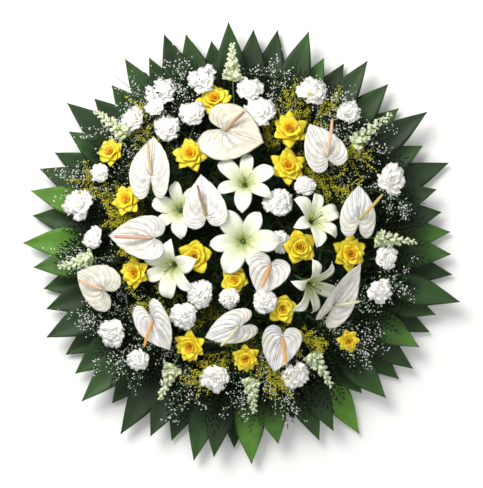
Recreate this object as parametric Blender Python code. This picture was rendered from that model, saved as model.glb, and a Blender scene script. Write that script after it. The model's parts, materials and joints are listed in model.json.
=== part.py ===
"""Round funeral wreath, lying on its back with the flowers facing up.

A shallow tray holds a domed disc of floral foam. Three tiers of pointed leaves are wired
round its side. A mat of cut greens covers the foam, and every bloom, bunch and spray stands
with its stem in a plain hole through the mat into the foam.

Metres, +Z up. The origin is on the underside of the tray, at the wreath's centre, and +Y is
the top of the wreath as it is seen from the front.
"""

import math
import random
from dataclasses import dataclass

import bmesh
import bpy
from mathutils import Matrix, Vector
from mathutils.bvhtree import BVHTree

# Driving dimensions
MM = 0.001
SEED = 7
SIDES = 20
FIT_GAP = 0.3 * MM
TRAY_RADIUS = 303 * MM
TRAY_HEIGHT = 28 * MM
TRAY_WALL = 3 * MM
FOAM_RADIUS = TRAY_RADIUS - TRAY_WALL - FIT_GAP
FOAM_SHOULDER = 62 * MM
FOAM_DOME = ((240 * MM, 88 * MM), (130 * MM, 103 * MM), (0.0, 108 * MM))
GARLAND_RINGS = (118 * MM, 190 * MM, 270 * MM)
GARLAND_WIDTH = 11 * MM
GARLAND_THICKNESS = 5 * MM
GARLAND_SPOKES = (1, 6, 11, 16)
GREEN_LEAVES = 43
GREEN_TRIES = 6000
GREEN_ROOT = 1.6 * MM
GREEN_THICKNESS = 1.8 * MM
GREEN_HALF_WIDTH = (11, 15)
GREEN_LENGTH = (46, 76)
GREEN_LEAN = (18, 55)
OUTER_GREEN_LENGTH = (62, 96)
OUTER_GREEN_LEAN = (58, 74)
GREEN_DROOP = 0.10
GREEN_CLEARANCE = 2.2 * MM
SPOKE_SHARE = 0.2
SPOKE_RADIUS = 3 * MM
FLOWER_RADIUS = 420 * MM
CROWN_HEIGHT = 208 * MM
EDGE_HEIGHT = 126 * MM
EDGE_LEAN = math.radians(32)
STEM_DEPTH = 34 * MM
STEM_SIDES = 3
STEM_OVERLAP = 1.5 * MM
FOOT_SHARE = 1.1
PICK_RADIUS = 2.6 * MM
LOWEST_TIP = 104 * MM
NECK = 14 * MM
ROOT_LIMIT = 258 * MM
SPACING = 0.8 * MM
FINE_SPACING = 1 * MM
HOLE_PLAY = 1.0 * MM
BUD_WAIST = 0.66
BUD_RISE = 0.45


@dataclass
class Tier:
    """One ring of rim leaves: where its band grips, and how far its leaves rise at each section."""

    name: str
    band_height: float
    rise: tuple


LEAF_WIDTH = 35 * MM
LEAF_THICKNESS = 1.8 * MM
LEAF_ROOT = math.radians(0.9)
LEAF_FOLD = 0.30
LEAF_SECTIONS = ((0.36, 0.88), (0.72, 0.84))
LEAF_STEP = 5.9
LEAF_REACH = 514 * MM
HEADING_SPREAD = 0.8
REACH_SPREAD = (-22, 14)
LEAF_ROLL = 8
BAND = 7 * MM
BAND_FLAT = math.radians(18.5)
BAND_STEP = BAND + FIT_GAP
TIERS = (
    Tier("leaf_collar_lower", TRAY_HEIGHT - BAND, (-6, -9, -7)),
    Tier("leaf_collar_middle", TRAY_HEIGHT + FIT_GAP, (4, 6, 7)),
    Tier("leaf_collar_upper", TRAY_HEIGHT + FIT_GAP + BAND_STEP, (12, 20, 25)),
)
# Leaves that set the outline, as heading in degrees and reach in millimetres; the rest stand
# between them at even steps
OUTLINE_LEAVES = (
    (3, 516),
    (21, 548),
    (35, 555),
    (47, 530),
    (55, 540),
    (72, 540),
    (80, 530),
    (93, 537),
    (110, 539),
    (122, 530),
    (141, 543),
    (154, 505),
    (166, 524),
    (180, 530),
    (206, 523),
    (225, 544),
    (238, 550),
    (258, 543),
    (273, 540),
    (287, 450),
    (302, 551),
    (309, 472),
    (324, 522),
    (345, 553),
)


@dataclass
class Head:
    """One bloom on the plan, in millimetres from the wreath's centre, headings in degrees."""

    kind: str
    x: float
    y: float
    size: float
    turn: float = 0.0
    width: float = 0.0
    spadix: float = 0.0
    curl: float = 0.0
    toward: tuple = ()
    length: float = 80.0
    lobes: float = 1.0


# Spathes: size is the length, turn the way its tip points, and spadix the way that points
ANTHURIUMS = (
    Head("anthurium", -210, 161, 124, 92, 100, 92, 14, lobes=2.1),
    Head("anthurium", -80, 64, 128, 98, 106, 104, 10),
    Head("anthurium", -34, 266, 122, -20, 150, 37, -8, length=66, lobes=2.0),
    Head("anthurium", 205, 204, 116, 112, 108, 84, 6, length=94, lobes=1.2),
    Head("anthurium", 281, 56, 106, 85, 94, 49, -5, length=84, lobes=1.8),
    Head("anthurium", -208, 12, 142, 177, 106, 178, 8, length=90),
    Head("anthurium", -326, -110, 104, 155, 116, 157, -6, length=64, lobes=1.5),
    Head("anthurium", -206, -182, 108, 295, 88, 254, 10, length=68, lobes=1.9),
    Head("anthurium", -4, -197, 108, 201, 84, 225, -6, length=64, lobes=1.7),
    Head("anthurium", 99, -221, 118, 262, 96, 279, 9, length=72),
    Head("anthurium", 223, -146, 150, 55, 92, 12, 16, toward=(-35, 26), length=62, lobes=1.6),
    Head("anthurium", 71, -52, 98, 250, 100, 246, 6, length=62),
)
# Lilies: size is the reach of a petal, width its breadth against the usual, and toward a lean
# of its own
LILIES = (
    Head("lily", 12, 148, 78, 84, 0.9, toward=(90, 8)),
    Head("lily", -146, 80, 72, 100, 0.95),
    Head("lily", 8, 4, 86, 63, 1.05),
    Head("lily", 184, 60, 72, 78, 0.95, toward=(40, 26)),
    Head("lily", -170, -62, 78, 205, 1.0, toward=(225, 24)),
    Head("lily", 180, -106, 80, 35, 0.7, toward=(-30, 40)),
)
ROSE_BUNCHES = (
    (Head("rose", -317, 223, 32), Head("rose", -276, 106, 34, 20)),
    (Head("rose", -120, 216, 37, 10), Head("rose", -62, 353, 37, 50)),
    (Head("rose", 122, 278, 40, 30), Head("rose", 118, 187, 40)),
    (Head("rose", -110, -31, 40, 15), Head("rose", -12, -89, 33, 40)),
    (Head("rose", -257, -72, 33, 30),),
    (Head("rose", 144, -10, 40, 25), Head("rose", 269, -26, 40)),
    (Head("rose", 103, -158, 35, 12), Head("rose", 264, -238, 26, 8)),
    (Head("rose", -122, -252, 35), Head("rose", 14, -281, 31, 33)),
)
CARNATION_BUNCHES = (
    (Head("carnation", -187, 367, 37), Head("carnation", -202, 328, 24), Head("carnation", -91, 394, 36)),
    (Head("carnation", -259, 300, 30), Head("carnation", -173, 276, 32), Head("carnation", -113, 310, 32)),
    (Head("carnation", 26, 370, 32), Head("carnation", 50, 317, 37)),
    (Head("carnation", 178, 367, 37), Head("carnation", 262, 314, 30)),
    (Head("carnation", 367, 156, 37),),
    (Head("carnation", 156, 137, 24), Head("carnation", 94, 96, 35)),
    (Head("carnation", 353, -36, 29), Head("carnation", 336, -118, 29)),
    (Head("carnation", -336, 168, 24), Head("carnation", -389, 94, 38), Head("carnation", -353, 12, 26)),
    (Head("carnation", -132, -175, 32), Head("carnation", -94, -122, 33)),
    (Head("carnation", -26, -132, 24), Head("carnation", 62, -140, 31)),
    (Head("carnation", -307, -216, 35), Head("carnation", -245, -281, 31)),
    (Head("carnation", -58, -324, 33), Head("carnation", 132, -317, 33)),
    (Head("carnation", 94, 5, 26),),
)
# Snapdragon spikes: the plan's ends of the flowering part, foot then tip, in millimetres
SNAPDRAGONS = (
    ((-17, 388), (-19, 480)),
    ((268, 236), (366, 312)),
    ((322, 12), (425, 2)),
    ((172, -262), (220, -344)),
    ((26, -322), (34, -408)),
    ((-158, -292), (-192, -376)),
    ((-352, -38), (-437, -58)),
    ((-268, 256), (-350, 318)),
)


@dataclass
class SprayLook:
    """A kind of spray: how far its tips lie under the dome, its heads, and its branches' radius."""

    drop: float
    head: float
    belly: float
    radius: float


SOLIDAGO_LOOK = SprayLook(20 * MM, 10 * MM, 3.6 * MM, 1.6 * MM)
GYPSOPHILA_LOOK = SprayLook(18 * MM, 15 * MM, 3.6 * MM, 1.3 * MM)
# Sprays: plan of the foot, then the plan of each branch's tip, in millimetres
GYPSOPHILA = (
    ((150, 205), ((78, 418), (228, 352), (322, 262), (408, 96))),
    ((-190, 165), ((-140, 422), (-246, 366), (-318, 284), (-418, 150))),
    ((-190, -165), ((-412, -12), (-385, -168), (-290, -304), (-120, -388))),
    ((160, -185), ((-10, -384), (96, -388), (318, -262), (398, -90))),
)
SOLIDAGO = (
    ((62, 212), ((128, 352), (240, 340), (300, 208), (254, 122))),
    ((-222, 46), ((-378, 150), (-306, 60), (-226, 330), (-262, -24))),
    ((30, -222), ((192, -234), (90, -338), (-104, -340), (-246, -140))),
)


def dome(radius):
    """Height of the flower faces at this distance from the centre."""
    return EDGE_HEIGHT + (CROWN_HEIGHT - EDGE_HEIGHT) * (1 - (radius / FLOWER_RADIUS) ** 2)


def direction(heading, lean):
    """A unit vector that leans from straight up towards a heading, both in radians."""
    return Vector((math.sin(lean) * math.cos(heading), math.sin(lean) * math.sin(heading), math.cos(lean)))


def facing(head):
    """The way a bloom faces: outwards with the dome, then by its own lean."""
    radius = math.hypot(head.x, head.y) * MM
    face = direction(math.atan2(head.y, head.x), EDGE_LEAN * radius / FLOWER_RADIUS)
    if head.toward:
        heading, lean = (math.radians(a) for a in head.toward)
        face = (face + math.tan(lean) * direction(heading, math.pi / 2)).normalized()
    return face


def placing(origin, face, turn):
    """The matrix that puts local +Z along the face and local +Y along the heading."""
    z = face.normalized()
    ahead = direction(math.radians(turn), math.pi / 2)
    y = (ahead - z * ahead.dot(z)).normalized()
    x = y.cross(z)
    matrix = Matrix((x, y, z)).transposed().to_4x4()
    matrix.translation = origin
    return matrix


class Shape:
    """A closed mesh as points and triangles, before it becomes part of an object."""

    def __init__(self, points, triangles):
        self.points = [Vector(p) for p in points]
        self.triangles = triangles

    def placed(self, matrix):
        """The shape moved by a matrix."""
        return Shape([matrix @ p for p in self.points], self.triangles)

    def tree(self):
        """A search tree of the shape's triangles."""
        return BVHTree.FromPolygons(self.points, self.triangles)

    def to_mesh(self, name):
        """A mesh with its faces pointing out."""
        mesh = bpy.data.meshes.new(name)
        bm = bmesh.new()
        verts = [bm.verts.new(p) for p in self.points]
        for triangle in self.triangles:
            bm.faces.new([verts[i] for i in triangle])
        bmesh.ops.recalc_face_normals(bm, faces=bm.faces)
        bm.to_mesh(mesh)
        bm.free()
        return mesh


def band(low, low_count, high, high_count):
    """Triangles between two rings, given by their first point and count; counts may double or halve."""
    if low_count == high_count:
        faces = []
        for i in range(low_count):
            j = (i + 1) % low_count
            faces += [(low + i, low + j, high + j), (low + i, high + j, high + i)]
        return faces
    if high_count == 1:
        return [(low + i, low + (i + 1) % low_count, high) for i in range(low_count)]
    if low_count > high_count:
        return [face[::-1] for face in band(high, high_count, low, low_count)]
    faces = []
    for i in range(low_count):
        j = (i + 1) % low_count
        near, middle, far = high + 2 * i, high + 2 * i + 1, high + 2 * j
        faces += [(low + i, middle, near), (low + i, low + j, middle), (low + j, far, middle)]
    return faces


def lofted(rings):
    """A closed shape through rings of points; the last ring may be one point, a tip."""
    points = []
    starts = []
    for ring in rings:
        starts.append(len(points))
        points.extend(ring)
    triangles = []
    for a, b in zip(range(len(rings)), range(1, len(rings))):
        triangles += band(starts[a], len(rings[a]), starts[b], len(rings[b]))
    for start, ring in ((starts[0], rings[0]), (starts[-1], rings[-1])):
        triangles += [(start, start + i, start + i + 1) for i in range(1, len(ring) - 1)]
    return Shape(points, triangles)


def tube(path, radii, sides=STEM_SIDES):
    """A stem of few sides along a path, without twist; a radius of zero is a point."""
    rings = []
    last = Vector((0, 0, 1))
    across = Vector((0.8, 0.6, 0))
    for i, (point, radius) in enumerate(zip(path, radii)):
        axis = (path[min(i + 1, len(path) - 1)] - path[max(i - 1, 0)]).normalized()
        across = last.rotation_difference(axis) @ across
        last = axis
        other = axis.cross(across)
        if radius:
            steps = (math.tau * k / sides for k in range(sides))
            rings.append([point + radius * (across * math.cos(a) + other * math.sin(a)) for a in steps])
        else:
            rings.append([point])
    return lofted(rings)


def turned(profile):
    """A solid turned about Z from a closed profile of radius and height.

    The profile lies off the axis, or it has both of its ends on it.
    """
    points = []
    starts = []
    for radius, height in profile:
        starts.append(len(points))
        count = SIDES if radius else 1
        steps = (math.tau * i / SIDES for i in range(count))
        points += [Vector((radius * math.cos(a), radius * math.sin(a), height)) for a in steps]
    sizes = [SIDES if radius else 1 for radius, _ in profile]
    triangles = []
    for a in range(len(profile)):
        b = (a + 1) % len(profile)
        if sizes[a] == sizes[b] == 1:
            continue
        if sizes[a] == 1:
            triangles += [face[::-1] for face in band(starts[b], SIDES, starts[a], 1)]
        else:
            triangles += band(starts[a], SIDES, starts[b], sizes[b])
    return Shape(points, triangles)


def spike(path, radii, buds):
    """A stem with florets that grow out of its sides, as one closed shape.

    Each bud is (segment, side, size, belly): it swells to the belly radius and ends in a point.
    """
    stem = tube(path, radii)
    points = stem.points
    triangles = list(stem.triangles)
    for segment, side, size, belly in buds:
        host = 2 * (STEM_SIDES * segment + side) + (segment + side) % 2
        corners = [points[i] for i in stem.triangles[host]]
        centre = sum(corners, Vector()) / 3
        axis = (path[segment + 1] - path[segment]).normalized()
        out = centre - path[segment]
        out = (out - axis * out.dot(axis)).normalized() + axis * BUD_RISE
        out.normalize()
        first = len(points)
        for corner in corners:
            flat = corner - centre
            flat = flat - out * flat.dot(out)
            points.append(centre + out * size * BUD_WAIST + flat.normalized() * belly)
        points.append(centre + out * size)
        triangles[host] = None
        low = stem.triangles[host]
        for i in range(3):
            j = (i + 1) % 3
            triangles += [(low[i], low[j], first + j), (low[i], first + j, first + i)]
            triangles.append((first + i, first + j, first + 3))
    return Shape(points, [t for t in triangles if t])


LEFT, TOP, RIGHT, UNDER = range(4)


def section(middle, edge, lift, half):
    """The four corners of a thin blade across its rib: its edges and its two faces."""
    return [middle + edge + lift, middle + half, middle - edge + lift, middle - half]


def section_panels(a, b):
    """Triangles from one section of a blade to the next, split alike on both faces."""
    faces = []
    for edge in (LEFT, RIGHT):
        for face in (TOP, UNDER):
            faces += [(a + edge, a + face, b + face), (a + edge, b + face, b + edge)]
    return faces


def tip_panels(last, tip):
    """Triangles from a blade's last section to its tip."""
    return [(last + edge, last + face, tip) for edge in (LEFT, RIGHT) for face in (TOP, UNDER)]


def blade(spine, half_widths, normals, side, thickness, fold):
    """A thin petal along a spine that ends in a tip, thick at its rib and thin at its edges.

    The fold lifts the edges by a share of the width.
    """
    points = []
    for centre, half, normal in zip(spine[:-1], half_widths, normals):
        points += section(centre, side * half, normal * half * fold, normal * thickness / 2)
    points.append(spine[-1])
    last = 4 * (len(spine) - 2)
    triangles = [(LEFT, UNDER, TOP), (TOP, UNDER, RIGHT)]
    for a in range(0, last, 4):
        triangles += section_panels(a, a + 4)
    return Shape(points, triangles + tip_panels(last, last + 4))


def pen(spine, half_widths, normals, side, thickness):
    """A plain leaf with a raised rib: flat below, and three points to a section."""
    rings = []
    for centre, half, normal in zip(spine[:-1], half_widths, normals):
        rings.append([centre + side * half, centre + normal * thickness, centre - side * half])
    return lofted(rings + [[spine[-1]]])


SPATHE_THICKNESS = 1.2 * MM
TIP_DROOP = 9
LOBE_DROOP = 26


def heart(length, width, curl, lobes):
    """A heart-shaped spathe with its joint at the origin, its tip along +Y and its lobes behind."""
    half = (
        (0.13, 0.66),
        (0.33, 0.44),
        (0.47, 0.18),
        (0.50, -0.03 * lobes),
        (0.42, -0.17 * lobes),
        (0.24, -0.22 * lobes),
        (0.08, -0.13 * lobes),
    )
    rim = [(0, 0.78)] + list(half) + [(0, -0.02)] + [(-x, y) for x, y in reversed(half)]
    inner = [(0, 0.26), (0, 0.50), (0.25, 0.06), (-0.25, 0.06)]
    flat = [(x * width, y * length) for x, y in rim + inner]

    def height(x, y):
        across = (2 * x / width) ** 2
        along = y / length
        return (curl * across - TIP_DROOP * max(along, 0) ** 2 - LOBE_DROOP * min(along, 0) ** 2) * MM

    top = [Vector((x, y, height(x, y) + SPATHE_THICKNESS)) for x, y in flat]
    under = [Vector((x, y, height(x, y))) for x, y in flat]
    count = len(rim)
    low_rib, high_rib, right, left = range(count, count + 4)
    sinus = len(half) + 1
    faces = []
    for place, step in ((right, 1), (left, -1)):
        r = [(step * i) % count for i in range(1, len(half) + 1)]
        faces += [(0, high_rib, r[0]), (r[0], high_rib, r[1]), (high_rib, low_rib, r[1])]
        faces += [(r[1], low_rib, place), (sinus, place, low_rib), (r[-1], place, sinus)]
        faces += [(r[i], place, r[i + 1]) for i in range(1, len(half) - 1)]
    total = len(flat)
    triangles = list(faces) + [tuple(i + total for i in face) for face in faces]
    for i in range(count):
        j = (i + 1) % count
        triangles += [(i, j, j + total), (i, j + total, i + total)]
    return Shape(top + under, triangles)


def anthurium_head(head):
    """The spathe alone, in the bloom's own frame; its spadix is the end of the stem."""
    return [heart(head.size * MM, head.width * MM, head.curl, head.lobes)]


def spadix_line(head, matrix):
    """The points of the spadix from the joint to its tip, in place."""
    turn = math.radians(90 + head.spadix - head.turn)
    way = direction(turn, math.radians(64)) * head.length * MM
    bend = Vector((0, 0, 0.07 * head.length * MM))
    return [matrix @ point for point in (Vector((0, 0, 3 * MM)), way * 0.5 + bend, way * 0.94, way)]


@dataclass
class PetalWhorl:
    """Three of a lily's petals: reach against the full one, millimetres raised, and half width."""

    reach: float
    raised: float
    half_width: float


LILY_WHORLS = (PetalWhorl(0.94, 0.0, 0.25), PetalWhorl(1.0, 2.5, 0.31))
LILY_SPINE = ((0.28, 34), (0.66, 50), (1.0, 38))
PETAL_THICKNESS = 1.8 * MM
PETAL_FOLD = 0.22


def lily_petal(head, whorl):
    """One petal that grows up out of the throat along +X and bends back at its tip."""
    reach = head.size * whorl.reach
    spine = [Vector((3 * MM, 0, (8 + whorl.raised) * MM))]
    spine += [Vector((share * reach * MM, 0, (z + whorl.raised) * MM)) for share, z in LILY_SPINE]
    normals = []
    for k in range(len(spine) - 1):
        run = (spine[k + 1] - spine[max(k - 1, 0)]).normalized()
        normals.append(Vector((-run.z, 0, run.x)))
    half = head.size * head.width * whorl.half_width * MM
    widths = [2.2 * MM, 0.44 * half, half]
    return blade(spine, widths, normals, Vector((0, 1, 0)), PETAL_THICKNESS, PETAL_FOLD)


def lily_head(head):
    """Six recurved petals round a green throat, with the style between them."""
    throat = lofted([plain_ring(4 * MM, -4 * MM, 5), plain_ring(9.5 * MM, 22 * MM, 5)])
    style = tube([Vector((0, 0, z * MM)) for z in (18, 58, 66)], [1.4 * MM, 3 * MM, 0])
    pieces = [throat, style]
    for i in range(6):
        turn = Matrix.Rotation(math.radians(90 + 60 * i), 4, "Z")
        pieces.append(lily_petal(head, LILY_WHORLS[i % 2]).placed(turn))
    return pieces


def plain_ring(radius, height, count, phase=0.0):
    """A level ring of points round the bloom's axis."""
    steps = (phase + math.tau * i / count for i in range(count))
    return [Vector((radius * math.cos(a), radius * math.sin(a), height)) for a in steps]


def frill_ring(radius, height, lobes, notch, drop, phase, uneven=0.0):
    """A ring of petal edges: out and up at each petal, in and down at each notch between.

    The petals' reaches differ by up to the uneven share.
    """
    ring = []
    for i in range(2 * lobes):
        inside = i % 2
        r = radius * (1 - notch * inside) * (1 + uneven * math.sin(2.4 * i + 7 * phase))
        z = height - drop * inside
        a = phase + math.pi * i / lobes
        ring.append(Vector((r * math.cos(a), r * math.sin(a), z)))
    return ring


def rose_head(head):
    """Layers of petals as lobed cups, one inside the other, round a closed heart."""
    r = head.size * MM
    phase = math.radians(head.turn)
    rings = [
        plain_ring(0.17 * r, 0, 5, phase),
        plain_ring(0.66 * r, 0.20 * r, 5, phase),
        frill_ring(1.04 * r, 0.46 * r, 5, 0.34, 0.14 * r, phase, 0.10),
        plain_ring(0.58 * r, 0.38 * r, 5, phase),
        frill_ring(0.70 * r, 0.72 * r, 5, -0.12, 0.12 * r, phase),
        plain_ring(0.34 * r, 0.56 * r, 5, phase),
        [Vector((0, 0, 0.84 * r))],
    ]
    return [lofted(rings)]


def carnation_head(head):
    """A green calyx that opens in two frilled tiers of petals."""
    r = head.size * MM
    phase = math.radians(head.turn)
    rings = [
        plain_ring(3.6 * MM, 0, 3, phase),
        plain_ring(0.26 * r, 0.46 * r, 6, phase),
        frill_ring(1.04 * r, 0.86 * r, 6, 0.22, 0.22 * r, phase),
        plain_ring(0.56 * r, 0.88 * r, 6, phase),
        frill_ring(0.78 * r, 1.20 * r, 6, 0.16, 0.20 * r, phase + 0.2),
        [Vector((0, 0, 1.02 * r))],
    ]
    return [lofted(rings)]


# For each kind: its maker, its height in millimetres or in radii, how far it stands above
# the dome, and the radius of its stem
HEADS = {
    "anthurium": (anthurium_head, 0.0, 9 * MM, 3.4 * MM),
    "lily": (lily_head, 48 * MM, 2 * MM, 3.4 * MM),
    "rose": (rose_head, 0.84, -6 * MM, 2.8 * MM),
    "carnation": (carnation_head, 1.02, -9 * MM, 2.4 * MM),
}
SPADIX_RADII = [3.4 * MM, 3.8 * MM, 5 * MM, 3.2 * MM, 0]
LIFTS = [sign * step * MM for step in range(0, 46, 3) for sign in (1, -1)]


class Bed:
    """What is already planted, for keeping the next piece clear of it."""

    def __init__(self):
        self.heads = []
        self.stems = []
        self.picks = []

    def add_head(self, owner, pieces):
        """Remembers closed shapes that belong to a node."""
        for piece in pieces:
            self.heads.append((owner, piece, piece.tree(), bounds(piece.points)))

    def add_stem(self, owner, path, radius):
        """Remembers a stem along a path."""
        self.stems.append((owner, sampled(path, 3 * MM), radius))

    def head_fits(self, pieces, space=SPACING):
        """Whether the shapes keep this much space to every shape planted so far."""
        for piece in pieces:
            tree, box = piece.tree(), bounds(piece.points)
            for _, other, other_tree, other_box in self.heads:
                if apart(box, other_box, space):
                    continue
                if tree.overlap(other_tree):
                    return False
                if any(other_tree.find_nearest(p, space)[0] for p in piece.points):
                    return False
                if any(tree.find_nearest(p, space)[0] for p in other.points):
                    return False
        return True

    def point_clear(self, point, space, owner=None):
        """Whether a point keeps this much space to every shape and stem of the other nodes."""
        for other, _, tree, box in self.heads:
            if other == owner or apart((point, point), box, space):
                continue
            if tree.find_nearest(point, space)[0]:
                return False
        for other, line, radius in self.stems:
            if other != owner and any((point - p).length < space + radius + MM for p in line):
                return False
        return True

    def path_clear(self, path, radius, owner=None):
        """Whether a stem of this radius can run along the path."""
        return all(self.point_clear(p, radius + SPACING, owner) for p in sampled(path, 2.5 * MM))


def bounds(points):
    """The lowest and the highest corner of the points' box."""
    low = Vector(map(min, zip(*points)))
    high = Vector(map(max, zip(*points)))
    return low, high


def apart(a, b, space):
    """Whether two boxes lie more than a space from each other."""
    return any(a[0][i] - space > b[1][i] or b[0][i] - space > a[1][i] for i in range(3))


def sampled(path, step):
    """Points close together along a path."""
    points = []
    for a, b in zip(path, path[1:]):
        count = max(1, math.ceil((b - a).length / step))
        points += [a.lerp(b, i / count) for i in range(count)]
    return points + [path[-1]]


def foam_height(radius):
    """Height of the foam's surface at this distance from the centre."""
    line = [(0.0, FOAM_DOME[2][1]), FOAM_DOME[1], FOAM_DOME[0], (FOAM_RADIUS, FOAM_SHOULDER)]
    for (r0, z0), (r1, z1) in zip(line, line[1:]):
        if radius <= r1:
            return z0 + (z1 - z0) * (radius - r0) / (r1 - r0)
    return FOAM_SHOULDER


def planted_head(head, lift):
    """(pieces in place, the line that the stem ends in, the way it faces)."""
    make, height, raise_by, _ = HEADS[head.kind]
    face = facing(head)
    if height > 0.5:
        height = height * head.size * MM
    top = Vector((head.x * MM, head.y * MM, dome(math.hypot(head.x, head.y) * MM) + raise_by + lift))
    base = top - face * height
    matrix = placing(base, face, head.turn)
    end = [base + face * 2.5 * MM]
    if head.kind == "anthurium":
        end = spadix_line(head, matrix)
    return [piece.placed(matrix) for piece in make(head)], [base - face * NECK] + end


def settle_heads(bed, bunches):
    """Lifts each bloom until it is clear of those before it, and returns its pieces and stem end."""
    settled = []
    for owner, heads in bunches:
        made = []
        for head in heads:
            for lift in LIFTS:
                pieces, end = planted_head(head, lift)
                if bed.head_fits(pieces + [tube(end, [2 * MM] * len(end))]):
                    break
            else:
                print("no clear height for", owner, head.x, head.y)
            bed.add_head(owner, pieces)
            if head.kind == "anthurium":
                bed.add_head(owner, [tube(end, SPADIX_RADII)])
            made.append((pieces, end, HEADS[head.kind][3]))
        settled.append((owner, made))
    return settled


def picks(x, y):
    """Feet and crotches of a pick in the foam, nearest to a place of the plan first."""
    radius = math.hypot(x, y)
    share = min(0.94, ROOT_LIMIT / max(radius, MM))
    for ring in range(9):
        count = max(1, 5 * ring)
        for k in range(count):
            angle = math.tau * (k + 0.5 * ring) / count
            px = x * share + 7 * ring * MM * math.cos(angle)
            py = y * share + 7 * ring * MM * math.sin(angle)
            reach = math.hypot(px, py)
            if reach > ROOT_LIMIT + MM:
                continue
            ground = foam_height(reach)
            for rise in (12, 24, 38):
                yield Vector((px, py, ground - STEM_DEPTH)), Vector((px, py, ground + rise * MM))


def find_stems(bed, owner, made):
    """Stems of a bunch from one pick that is clear of everything planted so far."""
    middle = sum((end[0] for _, end, _ in made), Vector()) / len(made)
    for margin in (0.6 * MM, 0, -0.5 * MM):
        for root, crotch in picks(middle.x, middle.y):
            paths = [[root, crotch] + end for _, end, _ in made]
            if all(bed.path_clear(path[:4], r + margin, owner) for path, (_, _, r) in zip(paths, made)):
                for path, (_, _, r) in zip(paths, made):
                    bed.add_stem(owner, path, r)
                bed.picks.append((root, made[0][2]))
                return paths
    raise ValueError("no clear stem for " + owner)


def joined_stems(paths, radii):
    """The stems of one bunch: the first runs to the foot, the others leave it at the crotch."""
    foot = [radii[0] * FOOT_SHARE] * 2
    if len(paths[0]) > 4:
        return [tube(paths[0], foot + SPADIX_RADII)]
    pieces = [tube(paths[0], foot + [radii[0], radii[0] * 0.9])]
    for path, radius in zip(paths[1:], radii[1:]):
        start = path[1] - Vector((0, 0, STEM_OVERLAP))
        pieces.append(tube([start] + path[2:], [radius * 0.9, radius, radius * 0.9]))
    return pieces


def material(name, colour, roughness):
    """A plain finish of this colour, not metallic."""
    made = bpy.data.materials.new(name)
    made.use_nodes = True
    shader = made.node_tree.nodes["Principled BSDF"]
    shader.inputs["Base Color"].default_value = (*colour, 1.0)
    shader.inputs["Roughness"].default_value = roughness
    shader.inputs["Metallic"].default_value = 0.0
    return made


def shown(name, mesh, finish):
    """The object of one sub-part."""
    obj = bpy.data.objects.new(name, mesh)
    bpy.context.scene.collection.objects.link(obj)
    mesh.materials.clear()
    mesh.materials.append(finish)
    return obj


def combine(name, pieces, finish, operation="UNION", first=None):
    """One object from many closed shapes: their union, or the first one cut by the others."""
    base = first or shown(name, pieces[0].to_mesh(name), finish)
    pieces = pieces if first else pieces[1:]
    if not pieces:
        return base
    repeats = bpy.data.collections.new(name + "_repeats")
    bpy.context.scene.collection.children.link(repeats)
    for i, piece in enumerate(pieces):
        part_name = f"{name}_repeat_{i}"
        repeats.objects.link(bpy.data.objects.new(part_name, piece.to_mesh(part_name)))
    boolean = base.modifiers.new("combine", "BOOLEAN")
    boolean.operation = operation
    boolean.operand_type = "COLLECTION"
    boolean.collection = repeats
    boolean.solver = "MANIFOLD"
    graph = bpy.context.evaluated_depsgraph_get()
    result = bpy.data.meshes.new_from_object(base.evaluated_get(graph))
    base.modifiers.clear()
    base.data = result
    result.materials.clear()
    result.materials.append(finish)
    for obj in list(repeats.objects):
        bpy.data.objects.remove(obj)
    bpy.data.collections.remove(repeats)
    return base


def tray():
    """The shallow round tray, open at the top."""
    outer, inner = TRAY_RADIUS, TRAY_RADIUS - TRAY_WALL
    side = [(outer, 0), (outer, TRAY_HEIGHT), (inner, TRAY_HEIGHT), (inner, TRAY_WALL)]
    return turned([(0, 0)] + side + [(0, TRAY_WALL)])


def foam():
    """The domed foam disc, seated in the tray."""
    low = TRAY_WALL + FIT_GAP
    return turned([(0, low), (FOAM_RADIUS, low), (FOAM_RADIUS, FOAM_SHOULDER)] + list(FOAM_DOME))


def garland_height(radius):
    """Height of the garland's middle over the foam at this distance from the centre."""
    return foam_height(radius) + FIT_GAP + GARLAND_THICKNESS / 2


def garland(bed):
    """Rings and spokes of bound greens that lie on the foam and carry the leaves."""
    pieces = []
    half = GARLAND_THICKNESS / 2
    for inner in GARLAND_RINGS:
        middle = inner + GARLAND_WIDTH / 2
        low = [(r, garland_height(r) - half) for r in (inner, inner + GARLAND_WIDTH)]
        pieces.append(turned(low + [(middle, garland_height(middle) + half)]))
        steps = (math.tau * i / 120 for i in range(121))
        line = [Vector((middle * math.cos(a), middle * math.sin(a), garland_height(middle))) for a in steps]
        bed.add_stem("greens_garland", line, 0.58 * GARLAND_WIDTH)
    reach = [GARLAND_RINGS[0] + 3 * MM, FOAM_DOME[0][0], GARLAND_RINGS[-1] + 3 * MM]
    for place in GARLAND_SPOKES:
        angle = math.tau * place / SIDES
        line = [Vector((r * math.cos(angle), r * math.sin(angle), foam_height(r) + 4 * MM)) for r in reach]
        pieces.append(tube(line, [SPOKE_RADIUS] * 3))
        bed.add_stem("greens_garland", line, SPOKE_RADIUS)
    return pieces


def root_panels(root, first):
    """Triangles from the four corners of a leaf's root to the section that starts at first.

    The corners run from the left lower one round by the right.
    """
    low_left, low_right, high_right, high_left = root
    left, top, right, under = range(first, first + 4)
    faces = [(low_left, low_right, under), (low_right, high_right, right)]
    faces += [(high_right, high_left, top), (high_left, low_left, left)]
    faces += [(low_right, right, under), (high_right, top, right)]
    return faces + [(high_left, left, top), (low_left, under, left)]


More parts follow.
